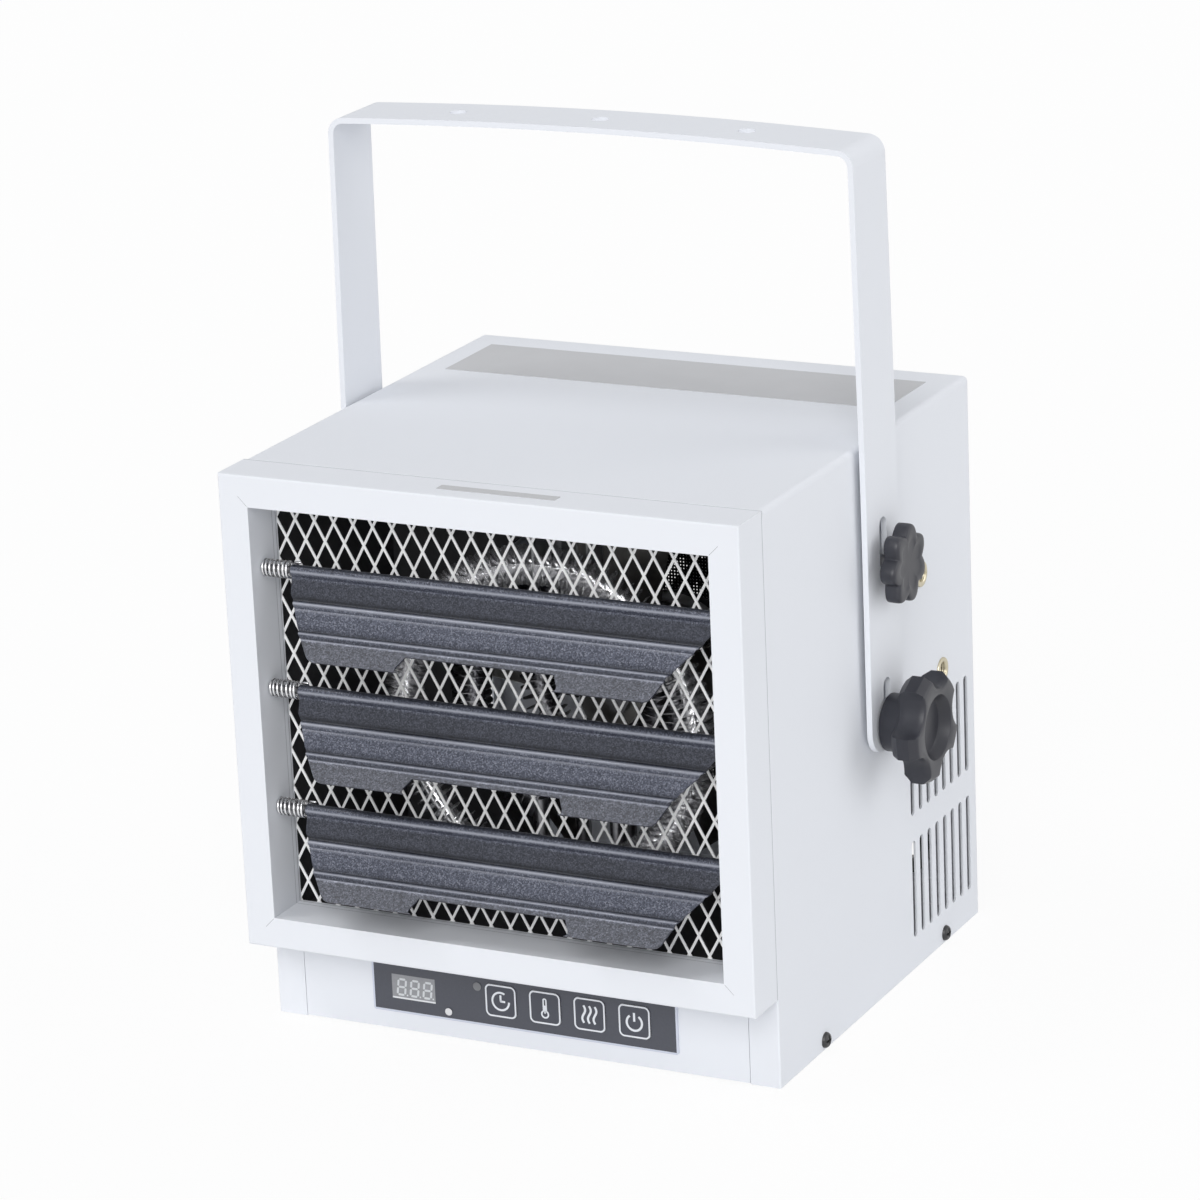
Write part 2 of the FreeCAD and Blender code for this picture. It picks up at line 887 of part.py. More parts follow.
def rivet_nuts():
    nuts = []
    for y, z in index_places():
        nuts += both_sides(rivet_nut(y, z))
    return grouped(nuts)


def washer(x0, z, bore):
    ring = rod_x(x0, x0 + washer_thickness, 0, z, washer_radius)
    return ring.cut(rod_x(x0 - overrun, x0 + overrun, 0, z, bore))


def pivot_spacers():
    ring = rod_x(nut_face, leg_inner, 0, pivot_height, washer_radius)
    ring = ring.cut(rod_x(nut_face - overrun, leg_inner + overrun, 0, pivot_height,
                          stud_radius + running_fit))
    return grouped(both_sides(ring))


# A disc with bevelled rims, which trims a knob's lobes.
def knob_trim(x0, x1, radius, edge):
    profile = [vec(x0, 0, 0), vec(x0, radius - edge, 0), vec(x0 + edge, radius, 0), vec(x1 - edge, radius, 0),
               vec(x1, radius - edge, 0), vec(x1, 0, 0)]
    disc = Part.Face(Part.makePolygon(profile + profile[:1]))
    return disc.revolve(vec(0, 0, 0), across, 360)


def upper_knob_back():
    return nut_face + tip_clearance + upper_stud_length() - stud_grip()


def upper_stud_length():
    return leg_outer + washer_thickness + upper_travel - nut_face - tip_clearance + stud_grip()


def stud_grip():
    return upper_hub + upper_thickness / 2


# A flat knob with round lobes, backed off from the leg by its travel.
def upper_knob():
    x0 = upper_knob_back()
    x1 = x0 + upper_hub
    corners = []
    radii = []
    for index in range(2 * upper_lobes):
        angle = math.radians(upper_turn) + index * math.pi / upper_lobes
        tip = index % 2 == 0
        reach = upper_valley - (upper_radius - upper_valley) / 2
        if tip:
            reach = upper_radius * upper_radius / upper_valley
        corners.append((reach * math.cos(angle), reach * math.sin(angle)))
        radii.append(upper_radius / upper_lobes)
    star = rounded_prism(corners, radii, in_yz, vec(upper_thickness, 0, 0))
    star.translate(vec(x1, 0, 0))
    star = star.common(knob_trim(x1, x1 + upper_thickness, upper_radius, upper_edge))
    hub = rod_x(x0, x1, 0, 0, upper_hub_radius)
    bore = rod_x(x0 - overrun, x0 + stud_grip(), 0, 0, stud_radius + close_fit)
    knob = joined([star, hub]).cut(bore)
    knob.translate(vec(0, 0, pivot_height + index_radius))
    return knob


def upper_stud():
    x0 = nut_face + tip_clearance
    return rod_x(x0, x0 + upper_stud_length(), 0, pivot_height + index_radius, stud_radius)


def upper_washer():
    return washer(upper_knob_back() - washer_thickness, pivot_height + index_radius,
                  stud_radius + running_fit)


# A star knob with square-ended lobes, a hub and a dished face, clamped on the leg.
def lower_knob():
    x0 = leg_outer + washer_thickness
    x1 = x0 + lower_hub
    x2 = x1 + lower_thickness
    corners = []
    radii = []
    tip_angle = math.asin(lower_tip_half / lower_radius)
    for index in range(lower_lobes):
        angle = math.radians(lower_turn) + index * 2 * math.pi / lower_lobes
        for turn in (-tip_angle, tip_angle):
            corners.append((lower_radius * math.cos(angle + turn), lower_radius * math.sin(angle + turn)))
            radii.append(lower_tip_half / 4)
        valley = angle + math.pi / lower_lobes
        corners.append((lower_valley * math.cos(valley), lower_valley * math.sin(valley)))
        radii.append(lower_valley / 2)
    star = rounded_prism(corners, radii, in_yz, vec(lower_thickness, 0, 0))
    star.translate(vec(x1, 0, 0))
    star = star.common(knob_trim(x1, x2, lower_radius, lower_edge))
    hub = rod_x(x0, x1, 0, 0, lower_hub_radius)
    dish = Part.makeCone(dish_radius - dish_depth / 2, dish_radius, dish_depth,
                         vec(x2 - dish_depth, 0, 0), across)
    bore = rod_x(x0 - overrun, x1, 0, 0, stud_radius + close_fit)
    knob = joined([star, hub]).cut(grouped([dish, bore]))
    knob.translate(vec(0, 0, pivot_height))
    return knob


def lower_stud():
    return rod_x(nut_face - lower_engagement, leg_outer + washer_thickness + lower_hub, 0, pivot_height,
                 stud_radius)


def lower_washer():
    return washer(leg_outer, pivot_height, stud_radius + running_fit)


# A pan-head screw along X with its head's underside at x.
def side_screw(x, y, z):
    head = rod_x(x, x + screw_head, y, z, screw_head_radius)
    rim = [edge for edge in head.Edges if near(edge.CenterOfMass.x, x + screw_head)]
    head = head.makeFillet(screw_head / 2, rim)
    shank = rod_x(x - 3 * sheet, x, y, z, screw_radius)
    return joined([head, shank])


def side_screws():
    screws = []
    for y in side_screw_places():
        screws += both_sides(side_screw(half_width, y, side_screw_height))
    return grouped(screws)


def rear_screws():
    screws = []
    for x, z in rear_screw_places():
        screw = side_screw(0, 0, 0)
        screw.rotate(vec(0, 0, 0), up, 90)
        screw.translate(vec(x, rear, z))
        screws.append(screw)
    return grouped(screws)


# A plate across the housing with a short ring round the fan.
def fan_shroud():
    side = half_width - sheet - joint_gap
    plate = box(-side, side, shroud_front, shroud_back, base_lip, body_height - bend_radius - joint_gap)
    ring = rod_y(shroud_front, shroud_back + shroud_lip, 0, fan_height, shroud_bore + sheet)
    bore = rod_y(shroud_front - overrun, shroud_back + shroud_lip + overrun, 0, fan_height, shroud_bore)
    return joined([plate, ring]).cut(bore)


# A blade's section at one radius: a thin rectangle set at its pitch angle.
def blade_section(radius, chord, angle):
    turn = math.radians(angle)
    along = (math.cos(turn), math.sin(turn))
    thick = (-math.sin(turn), math.cos(turn))
    corners = []
    for a, b in ((-1, -1), (1, -1), (1, 1), (-1, 1)):
        x = (a * chord * along[0] + b * blade_thickness * thick[0]) / 2
        y = (a * chord * along[1] + b * blade_thickness * thick[1]) / 2
        corners.append(vec(x, y, radius))
    return Part.makePolygon(corners + corners[:1])


def fan_wheel():
    middle = (fan_front + fan_back) / 2
    pieces = [rod_y(fan_front, fan_back, 0, 0, fan_hub_radius)]
    root = fan_hub_radius - blade_thickness
    waist = (fan_hub_radius + fan_radius) / 2
    tip = math.sqrt(fan_radius ** 2 - (blade_tip_chord / 2) ** 2)
    sections = [blade_section(root, blade_root_chord, blade_root_angle),
                blade_section(waist, (blade_root_chord + blade_tip_chord) / 2,
                              (blade_root_angle + blade_tip_angle) / 2),
                blade_section(tip, blade_tip_chord, blade_tip_angle)]
    for index in range(fan_blades):
        blade = Part.makeLoft(sections, True, True)
        blade.translate(vec(0, middle, 0))
        blade.rotate(vec(0, 0, 0), back, index * 360 / fan_blades)
        pieces.append(blade)
    wheel = joined(pieces)
    wheel = wheel.cut(rod_y(fan_front - overrun, fan_back + overrun, 0, 0, shaft_radius + close_fit))
    wheel.translate(vec(0, 0, fan_height))
    return wheel


def fan_shaft():
    return rod_y(fan_front - shaft_nose, motor_front + motor_bell, 0, fan_height, shaft_radius)


def fan_nut():
    corners = []
    for index in range(6):
        angle = index * math.pi / 3
        corners.append((fan_nut_radius * math.cos(angle), fan_nut_radius * math.sin(angle)))
    nut = rounded_prism(corners, [0] * 6, in_xz, vec(0, fan_nut_length, 0))
    nut.translate(vec(0, fan_front - fan_nut_length, fan_height))
    bore = rod_y(fan_front - fan_nut_length - overrun, fan_front + overrun, 0, fan_height,
                 shaft_radius + close_fit)
    return nut.cut(bore)


def fan_motor():
    body = rod_y(motor_front + motor_bell, motor_back - motor_bell, 0, fan_height, motor_radius)
    bells = [Part.makeCone(motor_bell_radius, motor_radius, motor_bell, vec(0, motor_front, fan_height),
                           back),
             Part.makeCone(motor_radius, motor_bell_radius, motor_bell,
                           vec(0, motor_back - motor_bell, fan_height), back)]
    boss = rod_y(motor_front - motor_boss, motor_front, 0, fan_height, motor_boss_radius)
    bore = rod_y(motor_front - motor_boss - overrun, motor_front + motor_bell + running_fit, 0, fan_height,
                 shaft_radius + running_fit)
    return joined([body] + bells + [boss]).cut(bore)


# A band round the motor with four arms, whose feet stand on the shroud.
def motor_spider():
    middle = (motor_front + motor_back) / 2
    y0 = middle - spider_band / 2
    y1 = middle + spider_band / 2
    pieces = [rod_y(y0, y1, 0, 0, motor_radius + spider_thickness)]
    half = spider_arm / 2
    for index in range(4):
        arm = box(-half, half, y1 - spider_thickness, y1, motor_radius, spider_foot_radius)
        leg = box(-half, half, shroud_back, y1, spider_foot_radius - spider_thickness, spider_foot_radius)
        limb = joined([arm, leg])
        limb.rotate(vec(0, 0, 0), back, 45 + index * 90)
        pieces.append(limb)
    spider = joined(pieces).cut(rod_y(y0 - overrun, y1 + overrun, 0, 0, motor_radius + seat_gap))
    spider.translate(vec(0, 0, fan_height))
    return spider


def air_duct():
    outer = box(-duct_half, duct_half, mesh_back, shroud_front, duct_bottom, duct_top)
    inner = box(-duct_half + duct_sheet, duct_half - duct_sheet, mesh_back - overrun, shroud_front + overrun,
                duct_bottom + duct_sheet, duct_top - duct_sheet)
    holes = []
    for radius, y in loop_places():
        for x in (-loop_leg_across(radius), loop_leg_across(radius)):
            holes.append(rod_z(duct_bottom - overrun, duct_bottom + overrun, x, y, bush_radius + close_fit))
    return outer.cut(inner).cut(grouped(holes))


# Each loop lies behind the last one and within it: its radius and its place in depth.
def loop_places():
    return [(loop_radius - index * loop_step, front + loop_first + index * loop_pitch)
            for index in range(loop_count)]


def loop_leg_across(radius):
    return radius * math.sin(math.radians(loop_gap_angle / 2))


# A finned tube bent into a ring that is open at the bottom, with two straight legs.
# The number of fins is even, so that the hanger's tab passes between two of them.
def heating_loop(radius, y):
    sweep = 360 - loop_gap_angle
    count = 2 * round(math.radians(sweep) * radius / fin_pitch / 2)
    step = sweep / count
    fin_angle = math.degrees(fin_thickness / radius)
    start = -90 + loop_gap_angle / 2
    pieces = [ring_sector(radius, tube_radius, start, sweep)]
    for index in range(count):
        turn = start + (index + 0.5) * step - fin_angle / 2
        pieces.append(ring_sector(radius, fin_radius, turn, fin_angle))
    x = loop_leg_across(radius)
    foot = radius * math.cos(math.radians(loop_gap_angle / 2))
    for side in (-x, x):
        pieces.append(rod_z(duct_bottom - leg_below - loop_height, -foot, side, 0, tube_radius))
        pieces.append(Part.makeSphere(tube_radius, vec(side, 0, -foot)))
    loop = pieces[0].multiFuse(pieces[1:])
    loop.translate(vec(0, y, loop_height))
    return loop


# A slice of a torus about Y, from one angle over a sweep, measured from +X towards +Z.
def ring_sector(ring, radius, start, sweep):
    sector = Part.makeTorus(ring, radius, vec(0, 0, 0), up, 0, 360, sweep)
    sector.rotate(vec(0, 0, 0), up, start)
    sector.rotate(vec(0, 0, 0), across, 90)
    return sector


def element_bushes():
    bushes = []
    for radius, y in loop_places():
        for x in (-loop_leg_across(radius), loop_leg_across(radius)):
            barrel = rod_z(duct_bottom - bush_flange, duct_bottom + duct_sheet, x, y, bush_radius)
            rim = rod_z(duct_bottom - 2 * bush_flange, duct_bottom, x, y, bush_flange_radius)
            bore = rod_z(duct_bottom - 3 * bush_flange, duct_bottom + overrun, x, y, tube_radius + close_fit)
            bushes.append(joined([barrel, rim]).cut(bore))
    return grouped(bushes)


# A strip under the duct's ceiling with one bored tab for each loop, which passes between two fins.
def element_hanger():
    places = loop_places()
    ceiling = duct_top - duct_sheet
    half = hanger_width / 2
    tab = hanger_thickness / 2
    pieces = [box(-half, half, places[0][1] - fin_radius, places[-1][1] + fin_radius,
                  ceiling - hanger_thickness, ceiling)]
    tools = []
    for radius, y in places:
        crown = loop_height + radius
        pieces.append(box(-tab, tab, y - hanger_width / 2, y + hanger_width / 2, crown - fin_radius,
                          ceiling - hanger_thickness))
        tools.append(rod_x(-hanger_width, hanger_width, y, crown, tube_radius + running_fit))
    return joined(pieces).cut(grouped(tools))


def terminal_block():
    y0 = shroud_back + block_depth
    base = box(-block_length / 2, block_length / 2, y0, y0 + block_depth, sheet, sheet + block_height)
    tools = []
    for index in range(block_poles):
        x = -block_length / 2 + (index + 0.5) * block_length / block_poles
        tools.append(rod_z(sheet + block_height - pole_depth, sheet + block_height + overrun, x,
                           y0 + block_depth / 2,
                           pole_radius))
    return base.cut(grouped(tools))


def contactor():
    x0 = -contactor_width / 2
    y0 = (board_front + shroud_front) / 2 - contactor_depth / 2
    low = box(x0, x0 + contactor_width, y0, y0 + contactor_depth, sheet,
              sheet + contactor_height - contactor_step)
    high = box(x0, x0 + contactor_width, y0 + contactor_step, y0 + contactor_depth - contactor_step, sheet,
               sheet + contactor_height)
    return joined([low, high])


def thermal_cutout():
    x = duct_half - 3 * cutout_radius
    y = shroud_front - 3 * cutout_radius
    z = duct_top
    plate = box(x - 2 * cutout_radius, x + 2 * cutout_radius, y - cutout_radius / 2, y + cutout_radius / 2, z,
                z + cutout_plate)
    can = rod_z(z, z + cutout_height, x, y, cutout_radius)
    return joined([plate, can])


def cable_gland():
    y0 = rear - 2 * sheet
    sleeve = rod_y(y0 - gland_flange, rear - sheet, gland_across, gland_height, gland_radius)
    flange = rod_y(rear - sheet, rear - sheet + gland_flange, gland_across, gland_height, gland_flange_radius)
    nut = rod_y(y0 - gland_flange, y0, gland_across, gland_height, gland_flange_radius)
    bore = rod_y(y0 - gland_flange - overrun, rear + gland_flange + overrun, gland_across, gland_height,
                 gland_bore)
    return joined([sleeve, flange, nut]).cut(bore)


def main():
    os.makedirs("parts", exist_ok=True)
    save("housing_shell", housing_shell())
    save("base_pan", base_pan())
    save("rear_panel", rear_panel())
    save("front_bezel", front_bezel())
    save("guard_mesh", guard_mesh())
    save("control_fascia", control_fascia())
    save("keypad_overlay", keypad_overlay())
    save("display_window", display_window())
    save("heat_indicator", pad_lens(-indicator_across, indicator_height, indicator_radius))
    save("remote_receiver", pad_lens(-receiver_across, receiver_height, receiver_radius))
    save("control_board", control_board())
    for name, x in zip(("timer", "temperature", "mode", "power"), button_places()):
        save(name + "_button", key_button(x))
    save("top_plate", top_plate())
    save("bezel_strip", bezel_strip())
    for number, height in enumerate(louver_heights(), 1):
        save("louver_blade_" + str(number), louver_blade(height))
        save("louver_rod_" + str(number), louver_rod(height))
        save("louver_spring_" + str(number), louver_spring(height))
    save("mounting_bracket", mounting_bracket())
    save("rivet_nuts", rivet_nuts())
    save("pivot_spacers", pivot_spacers())
    for side, turned in (("right", lambda shape: shape), ("left", mirrored)):
        save("upper_knob_" + side, turned(upper_knob()))
        save("upper_stud_" + side, turned(upper_stud()))
        save("upper_washer_" + side, turned(upper_washer()))
        save("lower_knob_" + side, turned(lower_knob()))
        save("lower_stud_" + side, turned(lower_stud()))
        save("lower_washer_" + side, turned(lower_washer()))
    save("side_screws", side_screws())
    save("rear_screws", rear_screws())
    save("fan_shroud", fan_shroud())
    save("fan_wheel", fan_wheel())
    save("fan_shaft", fan_shaft())
    save("fan_nut", fan_nut())
    save("fan_motor", fan_motor())
    save("motor_spider", motor_spider())
    save("air_duct", air_duct())
    for name, (radius, y) in zip(("front", "middle", "rear"), loop_places()):
        save("heating_loop_" + name, heating_loop(radius, y))
    save("element_bushes", element_bushes())
    save("element_hanger", element_hanger())
    save("terminal_block", terminal_block())
    save("contactor", contactor())
    save("thermal_cutout", thermal_cutout())
    save("cable_gland", cable_gland())


main()
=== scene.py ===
import bmesh
import bpy
import math
import numpy as np
from mathutils import Euler, Matrix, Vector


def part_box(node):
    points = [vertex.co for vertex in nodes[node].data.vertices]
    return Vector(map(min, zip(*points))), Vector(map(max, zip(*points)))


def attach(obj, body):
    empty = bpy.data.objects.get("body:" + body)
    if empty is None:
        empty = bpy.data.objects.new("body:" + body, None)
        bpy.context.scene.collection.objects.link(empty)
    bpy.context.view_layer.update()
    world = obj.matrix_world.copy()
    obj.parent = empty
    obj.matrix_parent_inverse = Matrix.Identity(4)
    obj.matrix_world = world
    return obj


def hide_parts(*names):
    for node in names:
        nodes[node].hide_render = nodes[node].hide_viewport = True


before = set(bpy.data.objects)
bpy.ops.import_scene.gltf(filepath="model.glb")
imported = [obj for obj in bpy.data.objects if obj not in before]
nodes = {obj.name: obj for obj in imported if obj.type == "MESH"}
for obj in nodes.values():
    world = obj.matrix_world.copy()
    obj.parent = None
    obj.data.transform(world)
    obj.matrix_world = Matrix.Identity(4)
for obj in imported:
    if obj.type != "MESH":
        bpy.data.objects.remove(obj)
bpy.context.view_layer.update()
mm = 0.001
print("frame loaded:", len(nodes), "nodes")


# a node's low and high corner in mm, and the point midway between them
def boxOf(node):
    return [np.array(corner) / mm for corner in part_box(node)]


def middleOf(node):
    return sum(boxOf(node)) / 2


# shader maths: a wire is one socket, and arithmetic on wires adds Math nodes
class Wire:
    def __init__(self, tree, socket=None):
        self.tree = tree
        self.socket = socket

    def node(self, kind, settings, sockets, out=0):
        made = self.tree.nodes.new(kind)
        for key, value in settings.items():
            setattr(made, key, value)
        for key, value in sockets.items():
            if isinstance(value, Wire):
                self.tree.links.new(value.socket, made.inputs[key])
            else:
                made.inputs[key].default_value = value
        return Wire(self.tree, made.outputs[out])

    def maths(self, operation, *terms):
        return self.node("ShaderNodeMath", {"operation": operation}, dict(enumerate(terms)))

    def __add__(self, other):
        return self.maths("ADD", self, other)

    def __sub__(self, other):
        return self.maths("SUBTRACT", self, other)

    def __rsub__(self, other):
        return self.maths("SUBTRACT", other, self)

    def __mul__(self, other):
        return self.maths("MULTIPLY", self, other)

    def __lt__(self, other):
        return self.maths("LESS_THAN", self, other)

    def __gt__(self, other):
        return self.maths("GREATER_THAN", self, other)

    def __abs__(self):
        return self.maths("ABSOLUTE", self)

    __radd__ = __add__


# a new material: its Principled shader, a start wire and the object coordinates
def newFinish(name, **sockets):
    material = bpy.data.materials.new(name)
    material.use_nodes = True
    tree = material.node_tree
    shader = tree.nodes["Principled BSDF"]
    for key, value in sockets.items():
        shader.inputs[key.replace("_", " ")].default_value = value
    start = Wire(tree)
    place = start.node("ShaderNodeTexCoord", {}, {}, "Object")
    return material, shader, start, place


def feed(shader, socket, wire):
    wire.tree.links.new(wire.socket, shader.inputs[socket])


def noise(start, place, scale, detail=2.0, rough=0.5):
    sockets = {"Vector": place, "Scale": scale, "Detail": detail, "Roughness": rough}
    return start.node("ShaderNodeTexNoise", {}, sockets)


def blendColour(start, factor, first, second):
    return start.node("ShaderNodeMix", {"data_type": "RGBA"}, {"Factor": factor, 6: first, 7: second}, 2)


def bumpFrom(start, shader, height, strength, distance):
    sockets = {"Strength": strength, "Distance": distance, "Height": height}
    feed(shader, "Normal", start.node("ShaderNodeBump", {}, sockets))


def axesOf(start, place, keys="XYZ"):
    return [start.node("ShaderNodeSeparateXYZ", {}, {"Vector": place}, key) for key in keys]


coat = {"white": (0.80, 0.82, 0.862, 1), "shade": (0.765, 0.785, 0.825, 1), "rough": 0.68, "gloss": 0.22,
        "peel": 520.0}
bezel = {"halfX": 128.4, "halfZ": 110.9, "mitre": (0.4, 5.4), "mitreLine": 0.16, "skin": 0.4, "lap": 3.8,
         "lapLine": 0.22, "inside": 0.3, "joint": 0.7, "dark": (0.22, 0.23, 0.25, 1), "mitreShare": 0.75,
         "lapShare": 0.55, "jointShare": 0.5}


# the bezel's lines: a mitre at each corner of the opening, the lap inside it and the joint to the shell
def bezelLines(start, place):
    low, high = boxOf("front_bezel")
    x, y, z = axesOf(start, place)
    beyondX = abs(x) - bezel["halfX"] * mm
    beyondZ = abs(z - (low[2] + high[2]) / 2 * mm) - bezel["halfZ"] * mm
    mitre = (abs(beyondX - beyondZ) < bezel["mitreLine"] * mm) * (y < (low[1] + bezel["skin"]) * mm)
    mitre = mitre * (beyondX > bezel["mitre"][0] * mm) * (beyondX < bezel["mitre"][1] * mm)
    lap = abs(y - (high[1] - bezel["lap"]) * mm) < bezel["lapLine"] * mm
    lap = lap * (beyondX < bezel["inside"] * mm) * (beyondZ < bezel["inside"] * mm)
    joint = y > (high[1] - bezel["joint"]) * mm
    return mitre * bezel["mitreShare"] + lap * bezel["lapShare"] + joint * bezel["jointShare"]


# powder coat: an orange-peel bump, faint cloudy tone and slightly duller patches
def powderCoat(name, lines=None):
    material, shader, start, place = newFinish(name, Specular_IOR_Level=coat["gloss"])
    cloud = noise(start, place, 9.0, 3.0)
    tone = blendColour(start, cloud * 0.5, coat["white"], coat["shade"])
    if lines:
        tone = blendColour(start, lines(start, place), tone, bezel["dark"])
    feed(shader, "Base Color", tone)
    feed(shader, "Roughness", cloud * 0.08 + (coat["rough"] - 0.04))
    bumpFrom(start, shader, noise(start, place, coat["peel"], 2.0, 0.6), 0.10, 0.0004)
    return material


flake = {"scale": 1700.0, "dark": (0.025, 0.029, 0.045, 1), "light": (0.088, 0.098, 0.138, 1),
         "glint": (0.30, 0.31, 0.36, 1), "paintedHighlight": (0.33, 0.345, 0.40, 1),
         "paintedShadeDark": (0.002, 0.003, 0.006, 1), "paintedShadeLight": (0.028, 0.031, 0.044, 1)}


# louver paint: dark grey with fine flakes, lightened as a painted highlight where the mesh's tone is above 0
# and darkened as painted shade below it
def flakePaint(name):
    looks = {"Coat_Weight": 0.1, "Coat_Roughness": 0.3, "Specular_IOR_Level": 0.45}
    material, shader, start, place = newFinish(name, **looks)
    sockets = {"Vector": place, "Scale": flake["scale"]}
    cells = start.node("ShaderNodeTexVoronoi", {"feature": "F1"}, sockets, "Color")
    shine = start.node("ShaderNodeSeparateColor", {}, {"Color": cells}, 0)
    glint = shine.maths("POWER", shine, 5.0)
    tone = blendColour(start, shine, flake["dark"], flake["light"])
    tone = blendColour(start, glint * 0.5, tone, flake["glint"])
    # the mesh's tone is painted light: above 0 it blends toward a light painted highlight colour
    paintedLight = start.node("ShaderNodeAttribute", {"attribute_name": "tone"}, {}, "Fac")
    tone = blendColour(start, paintedLight.maths("MAXIMUM", paintedLight, 0.0) * 0.7, tone, flake["paintedHighlight"])
    # below 0 it blends toward darker flakes, painted shade
    deep = blendColour(start, shine, flake["paintedShadeDark"], flake["paintedShadeLight"])
    tone = blendColour(start, paintedLight.maths("MINIMUM", paintedLight, 0.0) * -0.85, tone, deep)
    feed(shader, "Base Color", tone)
    feed(shader, "Metallic", glint * 0.35 + 0.15)
    feed(shader, "Roughness", 0.42 - glint * 0.12)
    bumpFrom(start, shader, shine, 0.14, 0.0001)
    return material


# plain metal: soft streaks, longer along the axis whose scale is small, dented where asked
def metal(name, dark, light, rough, scales=(40.0, 900.0, 900.0), metallic=1.0, dent=0.06):
    material, shader, start, place = newFinish(name, Metallic=metallic)
    along = start.node("ShaderNodeMapping", {}, {"Vector": place, "Scale": scales})
    streak = noise(start, along, 1.0, 3.0, 0.6)
    feed(shader, "Base Color", blendColour(start, streak, dark, light))
    feed(shader, "Roughness", streak * 0.16 + (rough - 0.08))
    bumpFrom(start, shader, streak, dent, 0.0002)
    return material


# moulded plastic: fine spark-eroded grain with a little tone change
def moulded(name, dark, light, rough, grain=1500.0, depth=0.12):
    material, shader, start, place = newFinish(name)
    cloud = noise(start, place, 60.0, 3.0)
    feed(shader, "Base Color", blendColour(start, cloud, dark, light))
    feed(shader, "Roughness", cloud * 0.12 + (rough - 0.06))
    bumpFrom(start, shader, noise(start, place, grain, 2.0, 0.7), depth, 0.0002)
    return material


pad = {"rim": 1.1, "dark": (0.046, 0.050, 0.067, 1), "light": (0.060, 0.064, 0.083, 1),
       "pale": (0.60, 0.63, 0.73, 1), "grain": 900.0, "rough": 0.36}


# keypad film: slate print with a pale rim at the overlay's edge
def padFilm(name):
    low, high = boxOf("keypad_overlay")
    middle = (low + high) / 2 * mm
    half = ((high - low) / 2 - pad["rim"]) * mm
    material, shader, start, place = newFinish(name, Coat_Weight=0.3, Coat_Roughness=0.2)
    x, z = axesOf(start, place, "XZ")
    inside = (abs(x - middle[0]) < half[0]) * (abs(z - middle[2]) < half[2])
    grain = noise(start, place, pad["grain"])
    slate = blendColour(start, grain, pad["dark"], pad["light"])
    feed(shader, "Base Color", blendColour(start, inside, pad["pale"], slate))
    feed(shader, "Roughness", grain * 0.1 + pad["rough"])
    bumpFrom(start, shader, grain, 0.05, 0.0001)
    return material


window = {"dark": (0.255, 0.26, 0.275, 1), "light": (0.315, 0.32, 0.335, 1), "edge": (0.74, 0.75, 0.77, 1),
          "highlightHeight": 0.9}


# display film: mid grey, with a painted highlight along the foot of the window
def displayFilm(name):
    foot = boxOf("display_window")[0][2] + window["highlightHeight"]
    material, shader, start, place = newFinish(name, Roughness=0.2)
    z, = axesOf(start, place, "Z")
    tone = blendColour(start, noise(start, place, 400.0), window["dark"], window["light"])
    # painted highlight: a light grey strip at the foot of the window
    feed(shader, "Base Color", blendColour(start, z < foot * mm, tone, window["edge"]))
    return material


# printed ink: one colour with a slightly darker grain
def plainInk(name, colour):
    material, shader, start, place = newFinish(name)
    grain = noise(start, place, 1600.0)
    darker = tuple(0.8 * part for part in colour[:3]) + (1,)
    feed(shader, "Base Color", blendColour(start, grain * 0.3, colour, darker))
    feed(shader, "Roughness", grain * 0.1 + 0.42)
    return material


print("finishes ready")


# meshes: a grid of points becomes quads, closed across either direction if asked
def gridQuads(points, wrapU=False, wrapV=False):
    rows, columns = points.shape[:2]
    index = np.arange(rows * columns).reshape(rows, columns)
    u = np.arange(rows if wrapU else rows - 1)[:, None]
    v = np.arange(columns if wrapV else columns - 1)[None, :]
    nextU, nextV = (u + 1) % rows, (v + 1) % columns
    return np.stack([index[u, v], index[nextU, v], index[nextU, nextV], index[u, nextV]], -1)


# quads turned to face away from the inside: the sum of their pyramids' volumes from the origin is positive
def outward(points, quads):
    a, b, c, d = (points[quads[:, n]] for n in range(4))
    volume = np.sum(a * (np.cross(b, c) + np.cross(c, d)))
    return quads if volume >= 0 else quads[:, ::-1]


# a tube closed to a point at its last ring, and at its first unless told otherwise
def capped(grid, first=True):
    ends = [np.broadcast_to(row.mean(1, keepdims=True), row.shape) for row in (grid[:1], grid[-1:])]
    return np.concatenate(([ends[0]] if first else []) + [grid, ends[1]])


# rings in mm as one closed tube for joinGrids
def closedTube(rings):
    return capped(rings * mm), False, True


def fullTurn(count):
    return np.linspace(0, 2 * math.pi, count, endpoint=False)


# smooth faces, with sharp edges past an angle
def smoothed(mesh, crease):
    mesh.polygons.foreach_set("use_smooth", np.ones(len(mesh.polygons), bool))
    if crease:
        mesh.set_sharp_from_angle(angle=math.radians(crease))


# points that no quad uses are dropped, and those that coincide, at poles and seams, are merged
def meshPiece(name, points, quads, smooth=True, crease=None, tone=None):
    used, quads = np.unique(quads, return_inverse=True)
    mesh = bpy.data.meshes.new(name)
    mesh.from_pydata(points[used].tolist(), [], quads.reshape(-1, 4).tolist())
    if tone is not None:
        mesh.attributes.new("tone", "FLOAT", "POINT").data.foreach_set("value", tone.ravel()[used])
    work = bmesh.new()
    work.from_mesh(mesh)
    bmesh.ops.remove_doubles(work, verts=work.verts, dist=1e-7)
    work.to_mesh(mesh)
    work.free()
    mesh.validate()
    if smooth:
        smoothed(mesh, crease)
    piece = bpy.data.objects.new(name, mesh)
    bpy.context.scene.collection.objects.link(piece)
    return piece


def gridPiece(name, points, wrapV=False, keep=None, smooth=True, crease=None, tone=None):
    quads = gridQuads(points, wrapV=wrapV)
    if keep is not None:
        quads = quads[keep]
    flat = points.reshape(-1, 3)
    return meshPiece(name, flat, outward(flat, quads.reshape(-1, 4)), smooth, crease, tone)


